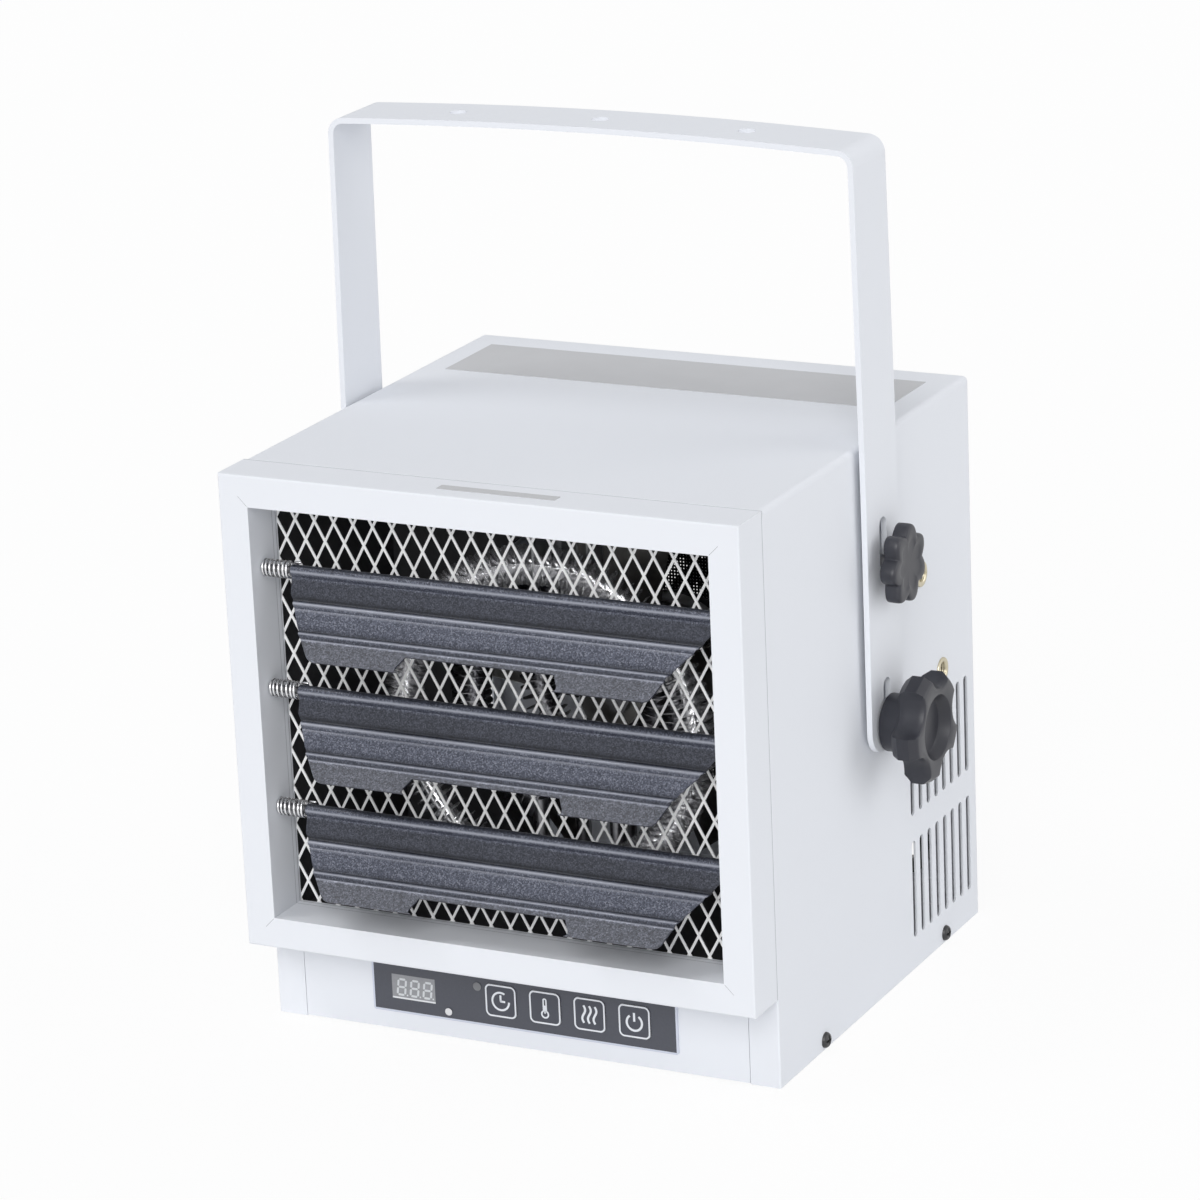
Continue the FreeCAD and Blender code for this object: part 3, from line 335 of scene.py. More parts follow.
# several grids in one mesh: each set keeps its own quads, shifted past the earlier points
def joinGrids(name, grids, smooth=True, crease=None):
    points, quads, base = [], [], 0
    for grid, wrapU, wrapV in grids:
        points.append(grid.reshape(-1, 3))
        quads.append(outward(points[-1], gridQuads(grid, wrapU, wrapV).reshape(-1, 4)) + base)
        base += len(points[-1])
    return meshPiece(name, np.concatenate(points), np.concatenate(quads), smooth, crease)


def paint(piece, material):
    piece.data.materials.clear()
    piece.data.materials.append(material)


def dress(piece, material, body, *stands):
    paint(piece, material)
    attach(piece, body)
    if stands:
        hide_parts(*stands)


# modifiers become mesh
def settle(piece, crease):
    graph = bpy.context.evaluated_depsgraph_get()
    mesh = bpy.data.meshes.new_from_object(piece.evaluated_get(graph))
    piece.modifiers.clear()
    piece.data = mesh
    smoothed(mesh, crease)


barCorners = np.array([[-1, -1], [1, -1], [1, 1], [-1, 1]]) / 2  # a flat bar's section, one wide and one deep

# guard mesh: two sets of straight strands, x = crossX + k * pitch +- (z - crossZ) * pitch / row height,
# each a flat bar turned a little about its own line and cut off at the frame
guard = {"pitch": 11.262, "tall": 20.76, "crossX": 5.861, "crossZ": 190.381, "count": 40, "strand": 1.28,
         "thick": 0.8, "twist": 14.0, "apart": 0.22, "inset": 0.3, "lowInset": 0.7, "shortest": 2.0}


def makeGuard():
    low, high = boxOf("guard_mesh")
    side = high[0] - guard["inset"]
    bottom, top = low[2] + guard["lowInset"], high[2] - guard["inset"]
    lean = guard["pitch"] / guard["tall"]
    twist = math.radians(guard["twist"])
    inward = np.array([0.0, 1.0, 0.0])
    crossX = guard["crossX"] + np.arange(-guard["count"], guard["count"] + 1)[:, None] * guard["pitch"]
    grids = []
    for way in (1.0, -1.0):
        z = guard["crossZ"] + way * (np.array([-side, side]) - crossX) / lean  # where a line meets both sides
        z = np.sort(np.clip(z, bottom, top), 1)
        x = crossX + way * (z - guard["crossZ"]) * lean
        y = np.full(x.shape, (low[1] + high[1]) / 2 + way * guard["apart"])
        lines = np.stack([x, y, z], -1)[z[:, 1] - z[:, 0] > guard["shortest"]]
        flat = np.array([1.0, 0.0, -way * lean]) / math.hypot(lean, 1.0)  # across the strand
        wide = flat * math.cos(twist) + inward * math.sin(twist)
        deep = inward * math.cos(twist) - flat * math.sin(twist)
        ring = barCorners[:, :1] * guard["strand"] * wide + barCorners[:, 1:] * guard["thick"] * deep
        grids += [closedTube(line[:, None] + ring) for line in lines]
    return joinGrids("guardStrands", grids, smooth=False)


guardPaint = moulded("guardPaint", (0.92, 0.92, 0.915, 1), (0.96, 0.96, 0.955, 1), 0.45, 700.0, 0.08)
dress(makeGuard(), guardPaint, "housing", "guard_mesh")
print("guard mesh made")


# heating loops: a tube on a ring, and a fin that winds round it as a crimped ribbon
loop = {"tube": 4.2, "fin": 10.5, "root": 0.1, "gap": 44.0, "pitch": 4.8, "thick": 0.35, "crimps": 11,
        "crimp": 0.75, "fade": (1.0, 0.7, 0.15), "lap": 1.0}


# points on a ring about y, with the directions out from its middle and onward along it
def ringFrame(angle, radius, y, z):
    cosine, sine, none = np.cos(angle), np.sin(angle), np.zeros_like(angle)
    spread = np.stack([cosine, none, sine], -1)
    return spread * radius + [0, y, z], spread, np.stack([-sine, none, cosine], -1)


def makeLoop(name, node):
    low, high = boxOf(node)
    radius = (high[0] - low[0]) / 2 - loop["fin"]
    centre = radius, (low[1] + high[1]) / 2, high[2] - radius - loop["fin"]
    sweep = math.radians(360 - loop["gap"])
    begin = math.radians(loop["gap"] / 2 - 90)
    side = np.array([0.0, 1.0, 0.0])
    turns = round(sweep * radius / loop["pitch"])
    share = np.linspace(0, 1, turns * loop["crimps"] * 4)
    path, spread, onward = ringFrame(begin + sweep * share, *centre)
    turn = share * turns * 2 * math.pi
    spoke = spread * np.cos(turn)[:, None] + side * np.sin(turn)[:, None]
    radii = np.array([loop["tube"] - loop["root"], (loop["tube"] + loop["fin"]) / 2, loop["fin"]])
    wave = loop["crimp"] * np.sin(turn * loop["crimps"])
    push = wave[:, None] * np.array(loop["fade"]) + loop["thick"] / 2
    face = path[:, None] + spoke[:, None] * radii[:, None] + onward[:, None] * push[..., None]
    back = face - onward[:, None] * loop["thick"]
    ribbon = np.concatenate([face, back[:, ::-1]], 1)  # closed section: up one face, down the other
    around = fullTurn(14)[:, None]
    path, spread = ringFrame(begin + sweep * np.linspace(0, 1, 90), *centre)[:2]
    tube = path[:, None] + loop["tube"] * (spread[:, None] * np.cos(around) + side * np.sin(around))
    disc = loop["tube"] * np.concatenate([np.cos(around), np.sin(around), 0 * around], 1)
    legs = [np.array([end + [0, 0, loop["lap"]], [end[0], end[1], low[2]]]) for end in (path[0], path[-1])]
    tubes = [ribbon, tube] + [leg[:, None] + disc for leg in legs]
    return joinGrids(name, [closedTube(rings) for rings in tubes], crease=50)


evenly = (300.0,) * 3
finSteel = metal("finSteel", (0.82, 0.82, 0.84, 1), (0.98, 0.98, 0.99, 1), 0.2, evenly, 0.82, 1.0)
# the middle and rear loops get a darker copy of the fin steel, painted shade deeper inside the duct
finSteelShaded = metal("finSteelShaded", (0.30, 0.30, 0.32, 1), (0.52, 0.52, 0.54, 1), 0.3, evenly)
for place, steel in (("front", finSteel), ("middle", finSteelShaded), ("rear", finSteelShaded)):
    dress(makeLoop(place + "Loop", "heating_loop_" + place), steel, "housing", "heating_loop_" + place)
print("heating loops made")


# louvers: a rolled top edge, then three bands whose tilt steps up at each bead; the sheet is the integral
# of (sin tilt, cos tilt) down its length, pushed out by the bead's wave, with sloped ends and a notch.
# Rows of hills are (height, place, width): waves; and, from each bead's crest, painted shade above the bead
# and painted highlights on and below its crest;
# the painted highlight and shade on the hem, in degrees round the roll, and a painted highlight down the
# sheet below it; the outer bands' painted shade goes by step and its square
louver = {"tilt": 31.0, "bend": 16.0, "band": 15.8, "fold": 0.8, "chord": 46.18, "thick": 0.9, "corner": 3.0,
          "knee": 30.99, "left": (11.5, 8.4, 19.4), "right": (5.2, 22.6, 28.5),
          "notchTop": 37.7, "notchIn": 41.7, "notchOut": 46.5, "notchMiddle": 2.6,
          "roll": 2.56, "curl": (-20.0, -332.0), "start": 3.1, "crests": (1.2, 0.9),
          "waves": ((1.0, 0.0, 1.15), (-0.75, -2.3, 1.5), (-0.4, 2.2, 0.4)),
          "grooveShade": ((-1.0, -1.7, 1.1), (-0.25, -3.4, 1.5)),
          "crestHighlights": (((1.5, -0.2, 0.75), (0.45, 3.0, 0.7)), ((1.9, -0.2, 0.75), (1.5, 3.0, 0.7))),
          "hem": ((1.3, -282.0, 13.0), (-0.9, -212.0, 34.0)), "lip": ((0.9, 3.6, 0.8),),
          "outer": (0.05, -0.75)}


# each row's height times exp(-((at - place) / width) squared), added up
def hills(at, rows):
    return sum(height * np.exp(-((at - place) / width) ** 2) for height, place, width in rows)


def integral(rate, pace):
    return np.concatenate([[0], np.cumsum((rate[1:] + rate[:-1]) / 2 * pace)])


# the sheet's section: distances out and down from the rod, and the painted highlights and shade as a tone
def louverSection():
    bends = np.array([1, 2]) * louver["band"]
    fine = [bend + np.linspace(-3.5, 4.2, 46) for bend in bends]
    length = np.unique(np.concatenate([np.linspace(0, 3 * louver["band"], 90)] + fine))
    step = sum(0.5 + 0.5 * np.tanh((length - bend) / louver["fold"]) for bend in bends) - 1
    tilt = np.radians(louver["tilt"] + louver["bend"] * step)
    pastCrest = [length - crest for crest in bends + louver["crests"]]
    wave = sum(hills(past, louver["waves"]) for past in pastCrest)
    out = integral(np.sin(tilt), np.diff(length)) + wave * np.cos(tilt)
    down = integral(np.cos(tilt), np.diff(length)) - wave * np.sin(tilt)
    # the tone is painted light: shade above each crest, highlights on it, light on and under the hem, shade
    # on the outer bands
    tone = sum(hills(past, louver["grooveShade"] + ridge) for past, ridge in zip(pastCrest, louver["crestHighlights"]))
    tone += hills(length, louver["lip"]) + louver["outer"][0] * step + louver["outer"][1] * step ** 2
    flat = length >= louver["start"]
    curl = np.linspace(*louver["curl"], 34)
    angle = np.radians(curl) + tilt[0]
    out = np.concatenate([louver["roll"] * np.sin(angle), out[flat]])
    down = np.concatenate([louver["roll"] * np.cos(angle), down[flat]])
    return out, down, np.concatenate([hills(curl, louver["hem"]), tone[flat]])


# how far each end falls back at a distance s down the chord: from its shoulder, past the knee, to the foot
def louverFall(s, shoulder, atKnee, atFoot):
    return np.interp(s, (shoulder, louver["knee"], louver["chord"]), (0, atKnee, atFoot))


def makeLouver(name, number):
    rod = middleOf("louver_rod_%d" % number)
    low, high = boxOf("louver_blade_%d" % number)
    out, down, tone = louverSection()
    lean = math.radians(louver["tilt"])
    s = out * math.sin(lean) + down * math.cos(lean)  # distance down the straight chord
    late = np.clip(s - (louver["chord"] - louver["corner"]), 0, louver["corner"])
    rounding = louver["corner"] - np.sqrt(louver["corner"] ** 2 - late ** 2)
    widen = np.clip((s - louver["notchTop"]) / (louver["chord"] - louver["notchTop"]), 0, 1)
    notch = louver["notchIn"] + widen * (louver["notchOut"] - louver["notchIn"]) - rounding
    edges = [low[0] + louverFall(s, *louver["left"]) + rounding, louver["notchMiddle"] - notch,
             louver["notchMiddle"] + notch, high[0] - louverFall(s, *louver["right"]) - rounding]
    share = np.linspace(0, 1, 15)
    parts = [a[:, None] * (1 - share) + b[:, None] * share for a, b in zip(edges[:-1], edges[1:])]
    x = np.concatenate([parts[0], parts[1][:, 1:-1], parts[2]], 1)
    y, z = (rod[1] - out)[:, None], (rod[2] - down)[:, None]
    points = np.stack([x, y + 0 * x, z + 0 * x], -1) * mm
    rows = ((s[:-1] + s[1:]) / 2 >= louver["notchTop"])[:, None]
    columns = np.arange(x.shape[1] - 1) // (len(share) - 1) == 1  # the middle part, where the notch is
    piece = gridPiece(name, points, keep=~(rows & columns), tone=tone[:, None] + 0 * x)
    wall = piece.modifiers.new("wall", "SOLIDIFY")
    wall.thickness = louver["thick"] * mm
    wall.offset = 0.0
    wall.use_even_offset = True
    settle(piece, 38)
    return piece


louverPaint = flakePaint("louverPaint")
for number in (1, 2, 3):
    sheet = makeLouver("louverSheet%d" % number, number)
    dress(sheet, louverPaint, "louver_%d" % number, "louver_blade_%d" % number)
print("louvers made")


# springs: round wire on a helix about the rod, whose last end runs on straight over the louver's hem
spring = {"inset": 4.8, "length": 15.6, "turns": 7, "coil": 4.1, "wire": 0.66, "tail": 5.0, "swing": 0.5,
          "tighter": 0.035, "begin": 0.6}


def makeSpring(name, number):
    rod = middleOf("louver_rod_%d" % number)
    left = boxOf("louver_rod_%d" % number)[0][0] + spring["inset"]
    t = np.linspace(0, 1, spring["turns"] * 36)
    ease = np.linspace(0, 1, 14)[1:]
    coiled = spring["length"] * (t - spring["tighter"] * np.sin(2 * math.pi * t))  # tighter at the ends
    along = np.concatenate([coiled, spring["length"] + spring["tail"] * ease ** 1.5])
    wound = spring["turns"] * 2 * math.pi
    angle = spring["begin"] + np.concatenate([t * wound, wound + spring["swing"] * (1 - (1 - ease) ** 3)])
    out = np.stack([0 * angle, np.cos(angle), np.sin(angle)], -1)
    path = [left, rod[1], rod[2]] + spring["coil"] * out + along[:, None] * np.array([1.0, 0.0, 0.0])
    ahead = np.gradient(path, axis=0)
    ahead /= np.linalg.norm(ahead, axis=1)[:, None]
    cross = np.cross(ahead, out)
    around = fullTurn(12)[:, None]
    size = np.full(len(along), spring["wire"])
    size[[0, -1]] = 0.0
    ring = out[:, None] * np.cos(around) + cross[:, None] * np.sin(around)
    return gridPiece(name, (path[:, None] + ring * size[:, None, None]) * mm, wrapV=True)


springSteel = metal("springSteel", (0.68, 0.68, 0.69, 1), (0.90, 0.90, 0.91, 1), 0.16, (400.0,) * 3)
for number in (1, 2, 3):
    dress(makeSpring("spring%d" % number, number), springSteel, "housing", "louver_spring_%d" % number)
print("springs made")


# knobs: rings along x; a ring is a share of the outline plus a fixed radius, and a turned trim cuts it
pivotZ = middleOf("pivot_spacers")[2]
swing = 86.0  # from the pivot to each index hole
far = 40.0  # past the whole outline
trimSoft = 0.18
upperKnob = {"lobes": 7, "crest": 20.9, "valley": 16.2, "round": 0.62, "hub": 0.8, "z": pivotZ + swing,
             "turn": 79.0}
lowerKnob = {"lobes": 5, "tip": 29.4, "valley": 20.2, "scallop": 14.2, "corner": 0.3, "hub": 12.0,
             "hubR": 15.2, "dishR": 17.0, "dish": 6.0, "z": pivotZ, "turn": 43.0}


# a smooth lesser of two values, -soft * log(exp(-a / soft) + exp(-b / soft))
def softLesser(a, b, soft):
    return -soft * np.logaddexp(-a / soft, -b / soft)


def knobSurface(name, outline, steps, sign, z):
    angle, reach = outline
    x, share, fixed, trim = (np.array(column, float)[:, None] for column in zip(*steps))
    radius = np.maximum(softLesser(reach * share + fixed, trim, trimSoft), 0.0)
    radius = np.where(trim > 0.0, radius, 0.0)
    grid = np.stack([sign * x + 0 * radius, radius * np.cos(angle), z + radius * np.sin(angle)], -1)
    return gridPiece(name, grid * mm, wrapV=True, crease=32)


# round lobes: a cosine whose crests are widened by a root
def upperOutline():
    angle = fullTurn(308)
    wave = (np.cos(upperKnob["lobes"] * (angle - math.radians(upperKnob["turn"]))) + 1) / 2
    height = upperKnob["crest"] - upperKnob["valley"]
    return angle, upperKnob["valley"] + height * wave ** upperKnob["round"]


# flat tips at a fixed distance, and circular scallops centred outside the rim between them
def lowerOutline():
    angle = fullTurn(500)
    pitch = 2 * math.pi / lowerKnob["lobes"]
    local = np.abs((angle - math.radians(lowerKnob["turn"]) + pitch / 2) % pitch - pitch / 2)
    flat = lowerKnob["tip"] / np.cos(local)
    centre = lowerKnob["valley"] + lowerKnob["scallop"]
    off = pitch / 2 - local
    under = lowerKnob["scallop"] ** 2 - (centre * np.sin(off)) ** 2
    scoop = np.where(under > 0, centre * np.cos(off) - np.sqrt(np.maximum(under, 0)), far)
    return angle, softLesser(flat, scoop, lowerKnob["corner"])


# the back and front of a knob, as distances from the middle of the part
def knobEnds(node):
    return sorted(abs(corner[0]) for corner in boxOf(node))


def makeUpperKnob(name, node, sign):
    back, front = knobEnds(node)
    foot = back + upperKnob["hub"]
    steps = [(back, 0, 1, 0), (back, 0, 9.0, far), (back + 0.1, 0, 9.4, far), (foot, 0, 9.5, far),
             (foot, 0.8, 0, far), (foot, 1, -1.0, far), (foot + 0.3, 1, -0.35, far), (foot + 0.9, 1, 0, far),
             (foot + 3.0, 1, 0.1, far), (front - 2.4, 1, 0.1, far), (front - 1.1, 1, -0.15, far),
             (front - 0.5, 1, -0.6, far), (front - 0.12, 1, -1.4, far), (front, 1, -2.4, far),
             (front, 0.7, 0, far), (front - 0.25, 0.66, 0, far), (front - 0.5, 0.55, 0, far),
             (front - 0.6, 0.35, 0, far), (front - 0.6, 0, 1, 0)]
    return knobSurface(name, upperOutline(), steps, sign, upperKnob["z"])


def makeLowerKnob(name, node, sign):
    back, front = knobEnds(node)
    hub, dish = lowerKnob["hubR"], lowerKnob["dishR"]
    foot = back + lowerKnob["hub"]
    ground = front - lowerKnob["dish"]
    steps = [(back, 0, 1, 0), (back, 0, hub - 0.8, far), (back + 0.3, 0, hub - 0.2, far),
             (back + 1.0, 0, hub, far), (foot - 1.5, 0, hub, far), (foot - 0.3, 0, hub + 0.5, far),
             (foot, 0, hub + 1.4, far),
             (foot + 0.05, 0.5, 8.0, 25.5), (foot + 0.1, 1, -1.0, 26.0), (foot + 0.5, 1, -0.3, 26.4),
             (foot + 1.0, 1, 0, 26.9), (foot + 4.4, 1, 0, 30.1), (foot + 5.5, 1, 0, 30.4),
             (front - 5.2, 1, 0, 30.4), (front - 4.2, 1, 0, 30.1), (front - 0.9, 1, 0, 27.0),
             (front - 0.4, 1, -0.3, 26.5), (front - 0.1, 1, -0.8, 25.9), (front, 1, -1.5, 25.2),
             (front, 0.45, 9.6, 24.0), (front, 0, dish + 0.6, far), (front - 0.2, 0, dish + 0.15, far),
             (front - 0.8, 0, dish - 0.2, far), (ground + 0.9, 0, dish - 2.2, far),
             (ground + 0.2, 0, dish - 2.9, far), (ground, 0, dish - 4.2, far), (ground, 0, dish / 2, far),
             (ground, 0, 1, 0)]
    return knobSurface(name, lowerOutline(), steps, sign, lowerKnob["z"])


knobPlastic = moulded("knobPlastic", (0.019, 0.020, 0.027, 1), (0.031, 0.032, 0.042, 1), 0.40)
for side, sign in (("right", 1), ("left", -1)):
    for level, makeKnob in (("upper", makeUpperKnob), ("lower", makeLowerKnob)):
        grip = makeKnob(level + "Grip_" + side, level + "_knob_" + side, sign)
        dress(grip, knobPlastic, level + "_turner_" + side, level + "_knob_" + side)
print("knobs made")


# rivet nuts: a turned flange with a rounded rim, and a bore whose radius rises and falls along a helix
rivet = {"flange": 6.9, "proud": 1.0, "bore": 4.08, "sleeve": 0.9, "thread": 0.42, "pitch": 1.25,
         "depth": 13.0, "stops": (0.0, 45.0, 90.0)}


def rivetNut(face, y, z, sign):
    flange, bore, depth = rivet["flange"], rivet["bore"], rivet["depth"]
    rim = np.array([(-depth, bore + rivet["sleeve"]), (-rivet["proud"], bore + rivet["sleeve"]),
                    (-rivet["proud"], flange), (-0.45, flange), (-0.15, flange - 0.15), (0.0, flange - 0.5),
                    (0.0, bore + 1.0), (-0.2, bore + 0.65)])
    along = np.linspace(0.5, depth, 70)
    x = np.concatenate([rim[:, 0], -along])[:, None]
    base = np.concatenate([rim[:, 1], np.full(len(along), bore)])[:, None]
    angle = fullTurn(40)
    phase = (x / rivet["pitch"] - angle / (2 * math.pi)) % 1.0
    radius = base + rivet["thread"] * (1 - np.abs(2 * phase - 1)) * (base == bore)
    x = sign * (face + x) + 0 * radius
    return np.stack([x, y + radius * np.cos(angle), z + radius * np.sin(angle)], -1)


def makeRivets():
    face = boxOf("rivet_nuts")[1][0]
    angles = np.radians(rivet["stops"])
    places = [(0.0, pivotZ)] + [(swing * math.sin(a), pivotZ + swing * math.cos(a)) for a in angles]
    grids = [(rivetNut(face, y, z, sign) * mm, True, True) for sign in (1, -1) for y, z in places]
    return joinGrids("rivetSleeves", grids, crease=40)


yellowZinc = metal("yellowZinc", (0.44, 0.39, 0.27, 1), (0.66, 0.61, 0.47, 1), 0.3, (260.0,) * 3)
dress(makeRivets(), yellowZinc, "housing", "rivet_nuts")
print("rivet nuts made")


# screws: a domed head as height over (radius, angle), with a cross pressed into it whose walls slope
screw = {"radius": 4.2, "head": 2.5, "cross": 2.6, "arm": 0.6, "deep": 1.5, "armWall": (1.25, 3.0),
         "endWall": (1.12, 5.0), "sideY": (-76.0, 82.5),
         "rear": ((-137.0, 20.0), (137.0, 20.0), (-137.0, 295.0), (137.0, 295.0), (0.0, 295.0))}


# across, along and up from the middle of the head's foot
def screwHead():
    radius = np.concatenate([np.linspace(0, 0.75, 18), np.linspace(0.78, 1, 7)])[:, None] * screw["radius"]
    angle = fullTurn(64)
    a, b = radius * np.cos(angle), radius * np.sin(angle)
    dome = screw["head"] * np.clip(1 - (radius / screw["radius"]) ** 4, 0, 1) ** 0.5
    long = np.maximum(np.abs(a), np.abs(b)) / screw["cross"]
    thin = np.minimum(np.abs(a), np.abs(b)) / screw["arm"]
    walls = ((screw["armWall"], thin), (screw["endWall"], long))
    press = math.prod(np.clip((edge - share) * slope, 0, 1) for (edge, slope), share in walls)
    return a, b, dome - screw["deep"] * press


def makeSideHeads():
    a, b, up = screwHead()
    x, z = boxOf("housing_shell")[1][0], middleOf("side_screws")[2]
    heads = [np.stack([sign * (x + up), y + sign * a, z + b], -1) for sign in (1, -1) for y in screw["sideY"]]
    return joinGrids("sideScrewHeads", [(capped(head * mm, False), False, True) for head in heads], crease=60)


def makeRearHeads():
    a, b, up = screwHead()
    y = boxOf("housing_shell")[1][1]
    heads = [np.stack([x - a, y + up, z + b], -1) for x, z in screw["rear"]]
    return joinGrids("rearScrewHeads", [(capped(head * mm, False), False, True) for head in heads], crease=60)


blackOxide = moulded("blackOxide", (0.018, 0.018, 0.020, 1), (0.035, 0.035, 0.037, 1), 0.35, 2200.0, 0.06)
dress(makeSideHeads(), blackOxide, "housing", "side_screws")
dress(makeRearHeads(), blackOxide, "housing", "rear_screws")
print("screws made")


# intake gauze, painted shade: a black screen behind the rear grille; two crossed sets of straight flat wires,
# each cut off at a circle, and a turned rim
gauze = {"radius": 97.0, "pitch": 1.9, "count": 50, "wire": 1.2, "thick": 0.4, "inset": 0.3, "rim": 2.5}


def makeShadeGauze():
    middle = np.array([0.0, boxOf("rear_panel")[0][1] - gauze["inset"], middleOf("fan_motor")[2]])
    offset = np.arange(-gauze["count"], gauze["count"] + 1) * gauze["pitch"]
    reach = np.sqrt(gauze["radius"] ** 2 - offset ** 2)
    along = np.stack([-reach, reach], 1)[..., None] + np.zeros(4)
    across = offset[:, None, None] + barCorners[:, 0] * gauze["wire"] + 0 * along
    deep = barCorners[:, 1] * gauze["thick"] + 0 * along
    bars = [np.stack(axes, -1) + middle for axes in ((along, deep, across), (across, deep, along))]
    angle = fullTurn(96)[:, None]
    turned = gauze["radius"] + barCorners[:, 0] * gauze["rim"]
    thick = barCorners[:, 1] * gauze["thick"] + 0 * angle
    rim = np.stack([turned * np.cos(angle), thick, turned * np.sin(angle)], -1) + middle
    grids = [closedTube(bar) for bar in np.concatenate(bars)]
    return joinGrids("shadeGauze", grids + [(rim * mm, True, True)], smooth=False)


# black, so the rear grille shows painted shade instead of the bright backdrop
shadeGauzeBlack = moulded("shadeGauzeBlack", (0.014, 0.014, 0.015, 1), (0.026, 0.026, 0.027, 1), 0.6)
dress(makeShadeGauze(), shadeGauzeBlack, "housing")
print("intake gauze made")


# key marks: thin ink strokes about the middle of a key, each a share of the line's width
ink = {"film": 0.04, "line": 1.1, "box": 8.4, "corner": 2.6}


# two edges become a closed slab: along the front, and back a film's thickness behind it
def inkSlab(edges, front, closed=False):
    ring = np.concatenate([edges, edges[:, ::-1]], 1)
    depth = np.broadcast_to(front + ink["film"] * np.array([0, 0, 1, 1]), ring.shape[:2])
    grid = np.stack([ring[..., 0], depth, ring[..., 1]], -1) * mm
    return grid if closed else capped(grid), closed, True


# half a line's width to each side of a path
def inkStroke(path, share, closed=False):
    path = np.array(path, float)
    ahead = np.roll(path, -1, 0) - np.roll(path, 1, 0) if closed else np.gradient(path, axis=0)
    ahead /= np.linalg.norm(ahead, axis=1)[:, None]
    normal = np.stack([-ahead[:, 1], ahead[:, 0]], -1) * share * ink["line"] / 2
    return np.stack([path + normal, path - normal], 1), closed


def arcPath(x, z, radius, start, end, count=40):
    angle = np.radians(np.linspace(start, end, count))
    return np.stack([x + radius * np.cos(angle), z + radius * np.sin(angle)], -1)


def keyBox():
    straight = ink["box"] - ink["corner"]
    corners = ((1, 1, 0), (-1, 1, 90), (-1, -1, 180), (1, -1, 270))
    arcs = [arcPath(a * straight, b * straight, ink["corner"], turn, turn + 90, 9) for a, b, turn in corners]
    return inkStroke(np.concatenate(arcs), 0.8, True)


def timerMark():
    hands = [(0, 3.4), (0, 0)], [(-0.4, 0), (2.6, 0)]
    return [inkStroke(path, 1.0) for path in (arcPath(0, 0, 4.8, 60, 360), *hands)]


def temperatureMark():
    top = arcPath(0, 4.2, 0.8, 180, 0, 9)
    tube = np.concatenate([[(-0.8, -1.6), (-0.8, 3.8)], top, [(0.8, 3.8), (0.8, -1.6)]])
    bulb = inkStroke(arcPath(0, -3.4, 1.9, 115, 425), 0.8)
    return [bulb, inkStroke(tube, 0.7), inkStroke([(0, -3.0), (0, 1.4)], 0.7)]


def modeMark():
    t = np.linspace(-1, 1, 30)
    waves = [np.stack([off + 0.9 * np.sin(t * math.pi), 4.8 * t], -1) for off in (-3.2, 0, 3.2)]
    return [inkStroke(wave, 1.1) for wave in waves]


def powerMark():
    return [inkStroke(arcPath(0, -0.6, 4.3, 125, 415), 1.1), inkStroke([(0, 4.8), (0, 0)], 1.1)]


def makeMark(key, strokes):
    x, z = middleOf(key + "_button")[[0, 2]]
    front = boxOf(key + "_button")[0][1] - ink["film"]
    grids = [inkSlab(edges + [x, z], front, closed) for edges, closed in [keyBox()] + strokes]
    return joinGrids(key + "Mark", grids, smooth=False)


markInk = plainInk("markInk", (0.78, 0.80, 0.84, 1))
marks = {"timer": timerMark, "temperature": temperatureMark, "mode": modeMark, "power": powerMark}
for key, mark in marks.items():
    dress(makeMark(key, mark()), markInk, key + "_key")
print("key marks made")


# display digits: seven slanted bars to a digit and a dot, as small hexagons
digits = {"count": 3, "inset": 3.0, "lift": 2.3, "pitch": 7.6, "width": 4.4, "height": 8.6, "bar": 1.15,
          "slant": 0.12, "gap": 0.35, "point": 0.75, "tip": 0.05, "dotGap": 1.0, "dot": 0.8}


# one digit's bars and dot as pairs of edges from its lower left corner
def digitBars():
    w, h = digits["width"], digits["height"]
    spans = [((0, z), (w, z)) for z in (0, h / 2, h)]
    spans += [((x, z), (x, z + h / 2)) for z in (0, h / 2) for x in (0, w)]
    wide = np.array([digits["tip"], 1.0, 1.0, digits["tip"]])[:, None] * digits["bar"] / 2
    bars = []
    for start, end in np.array(spans):
        length = np.linalg.norm(end - start)
        ahead = (end - start) / length
        side = np.array([-ahead[1], ahead[0]]) * wide
        gap, point = digits["gap"], digits["point"]
        centre = start + ahead * np.array([gap, point, length - point, length - gap])[:, None]
        bars.append(np.stack([centre + side, centre - side], 1))
    left, half = w + digits["dotGap"], digits["dot"] / 2
    dot = np.array([[[x, -half], [x, half]] for x in (left, left + digits["dot"])])
    return [edges @ np.array([[1, 0], [digits["slant"], 1]]) for edges in bars + [dot]]


def makeDigits():
    low = boxOf("display_window")[0]
    corners = [(low[0] + digits["inset"] + digits["pitch"] * n, low[2] + digits["lift"])
               for n in range(digits["count"])]
    grids = [inkSlab(edges + corner, low[1] - ink["film"]) for corner in corners for edges in digitBars()]
    return joinGrids("displayBars", grids, smooth=False)


# lenses: a low dome of revolution that stands on the keypad film
def makeLens(name, node, radius, rise):
    x, z = middleOf(node)[[0, 2]]
    front = boxOf(node)[0][1]
    t = np.linspace(0, math.pi / 2, 9)[:, None]
    angle = fullTurn(36)
    reach = radius * np.sin(t)
    y = front - rise * np.cos(t) + 0 * angle
    grid = np.stack([x + reach * np.cos(angle), y, z + reach * np.sin(angle)], -1)
    return gridPiece(name, capped(grid * mm, False), wrapV=True, crease=50)


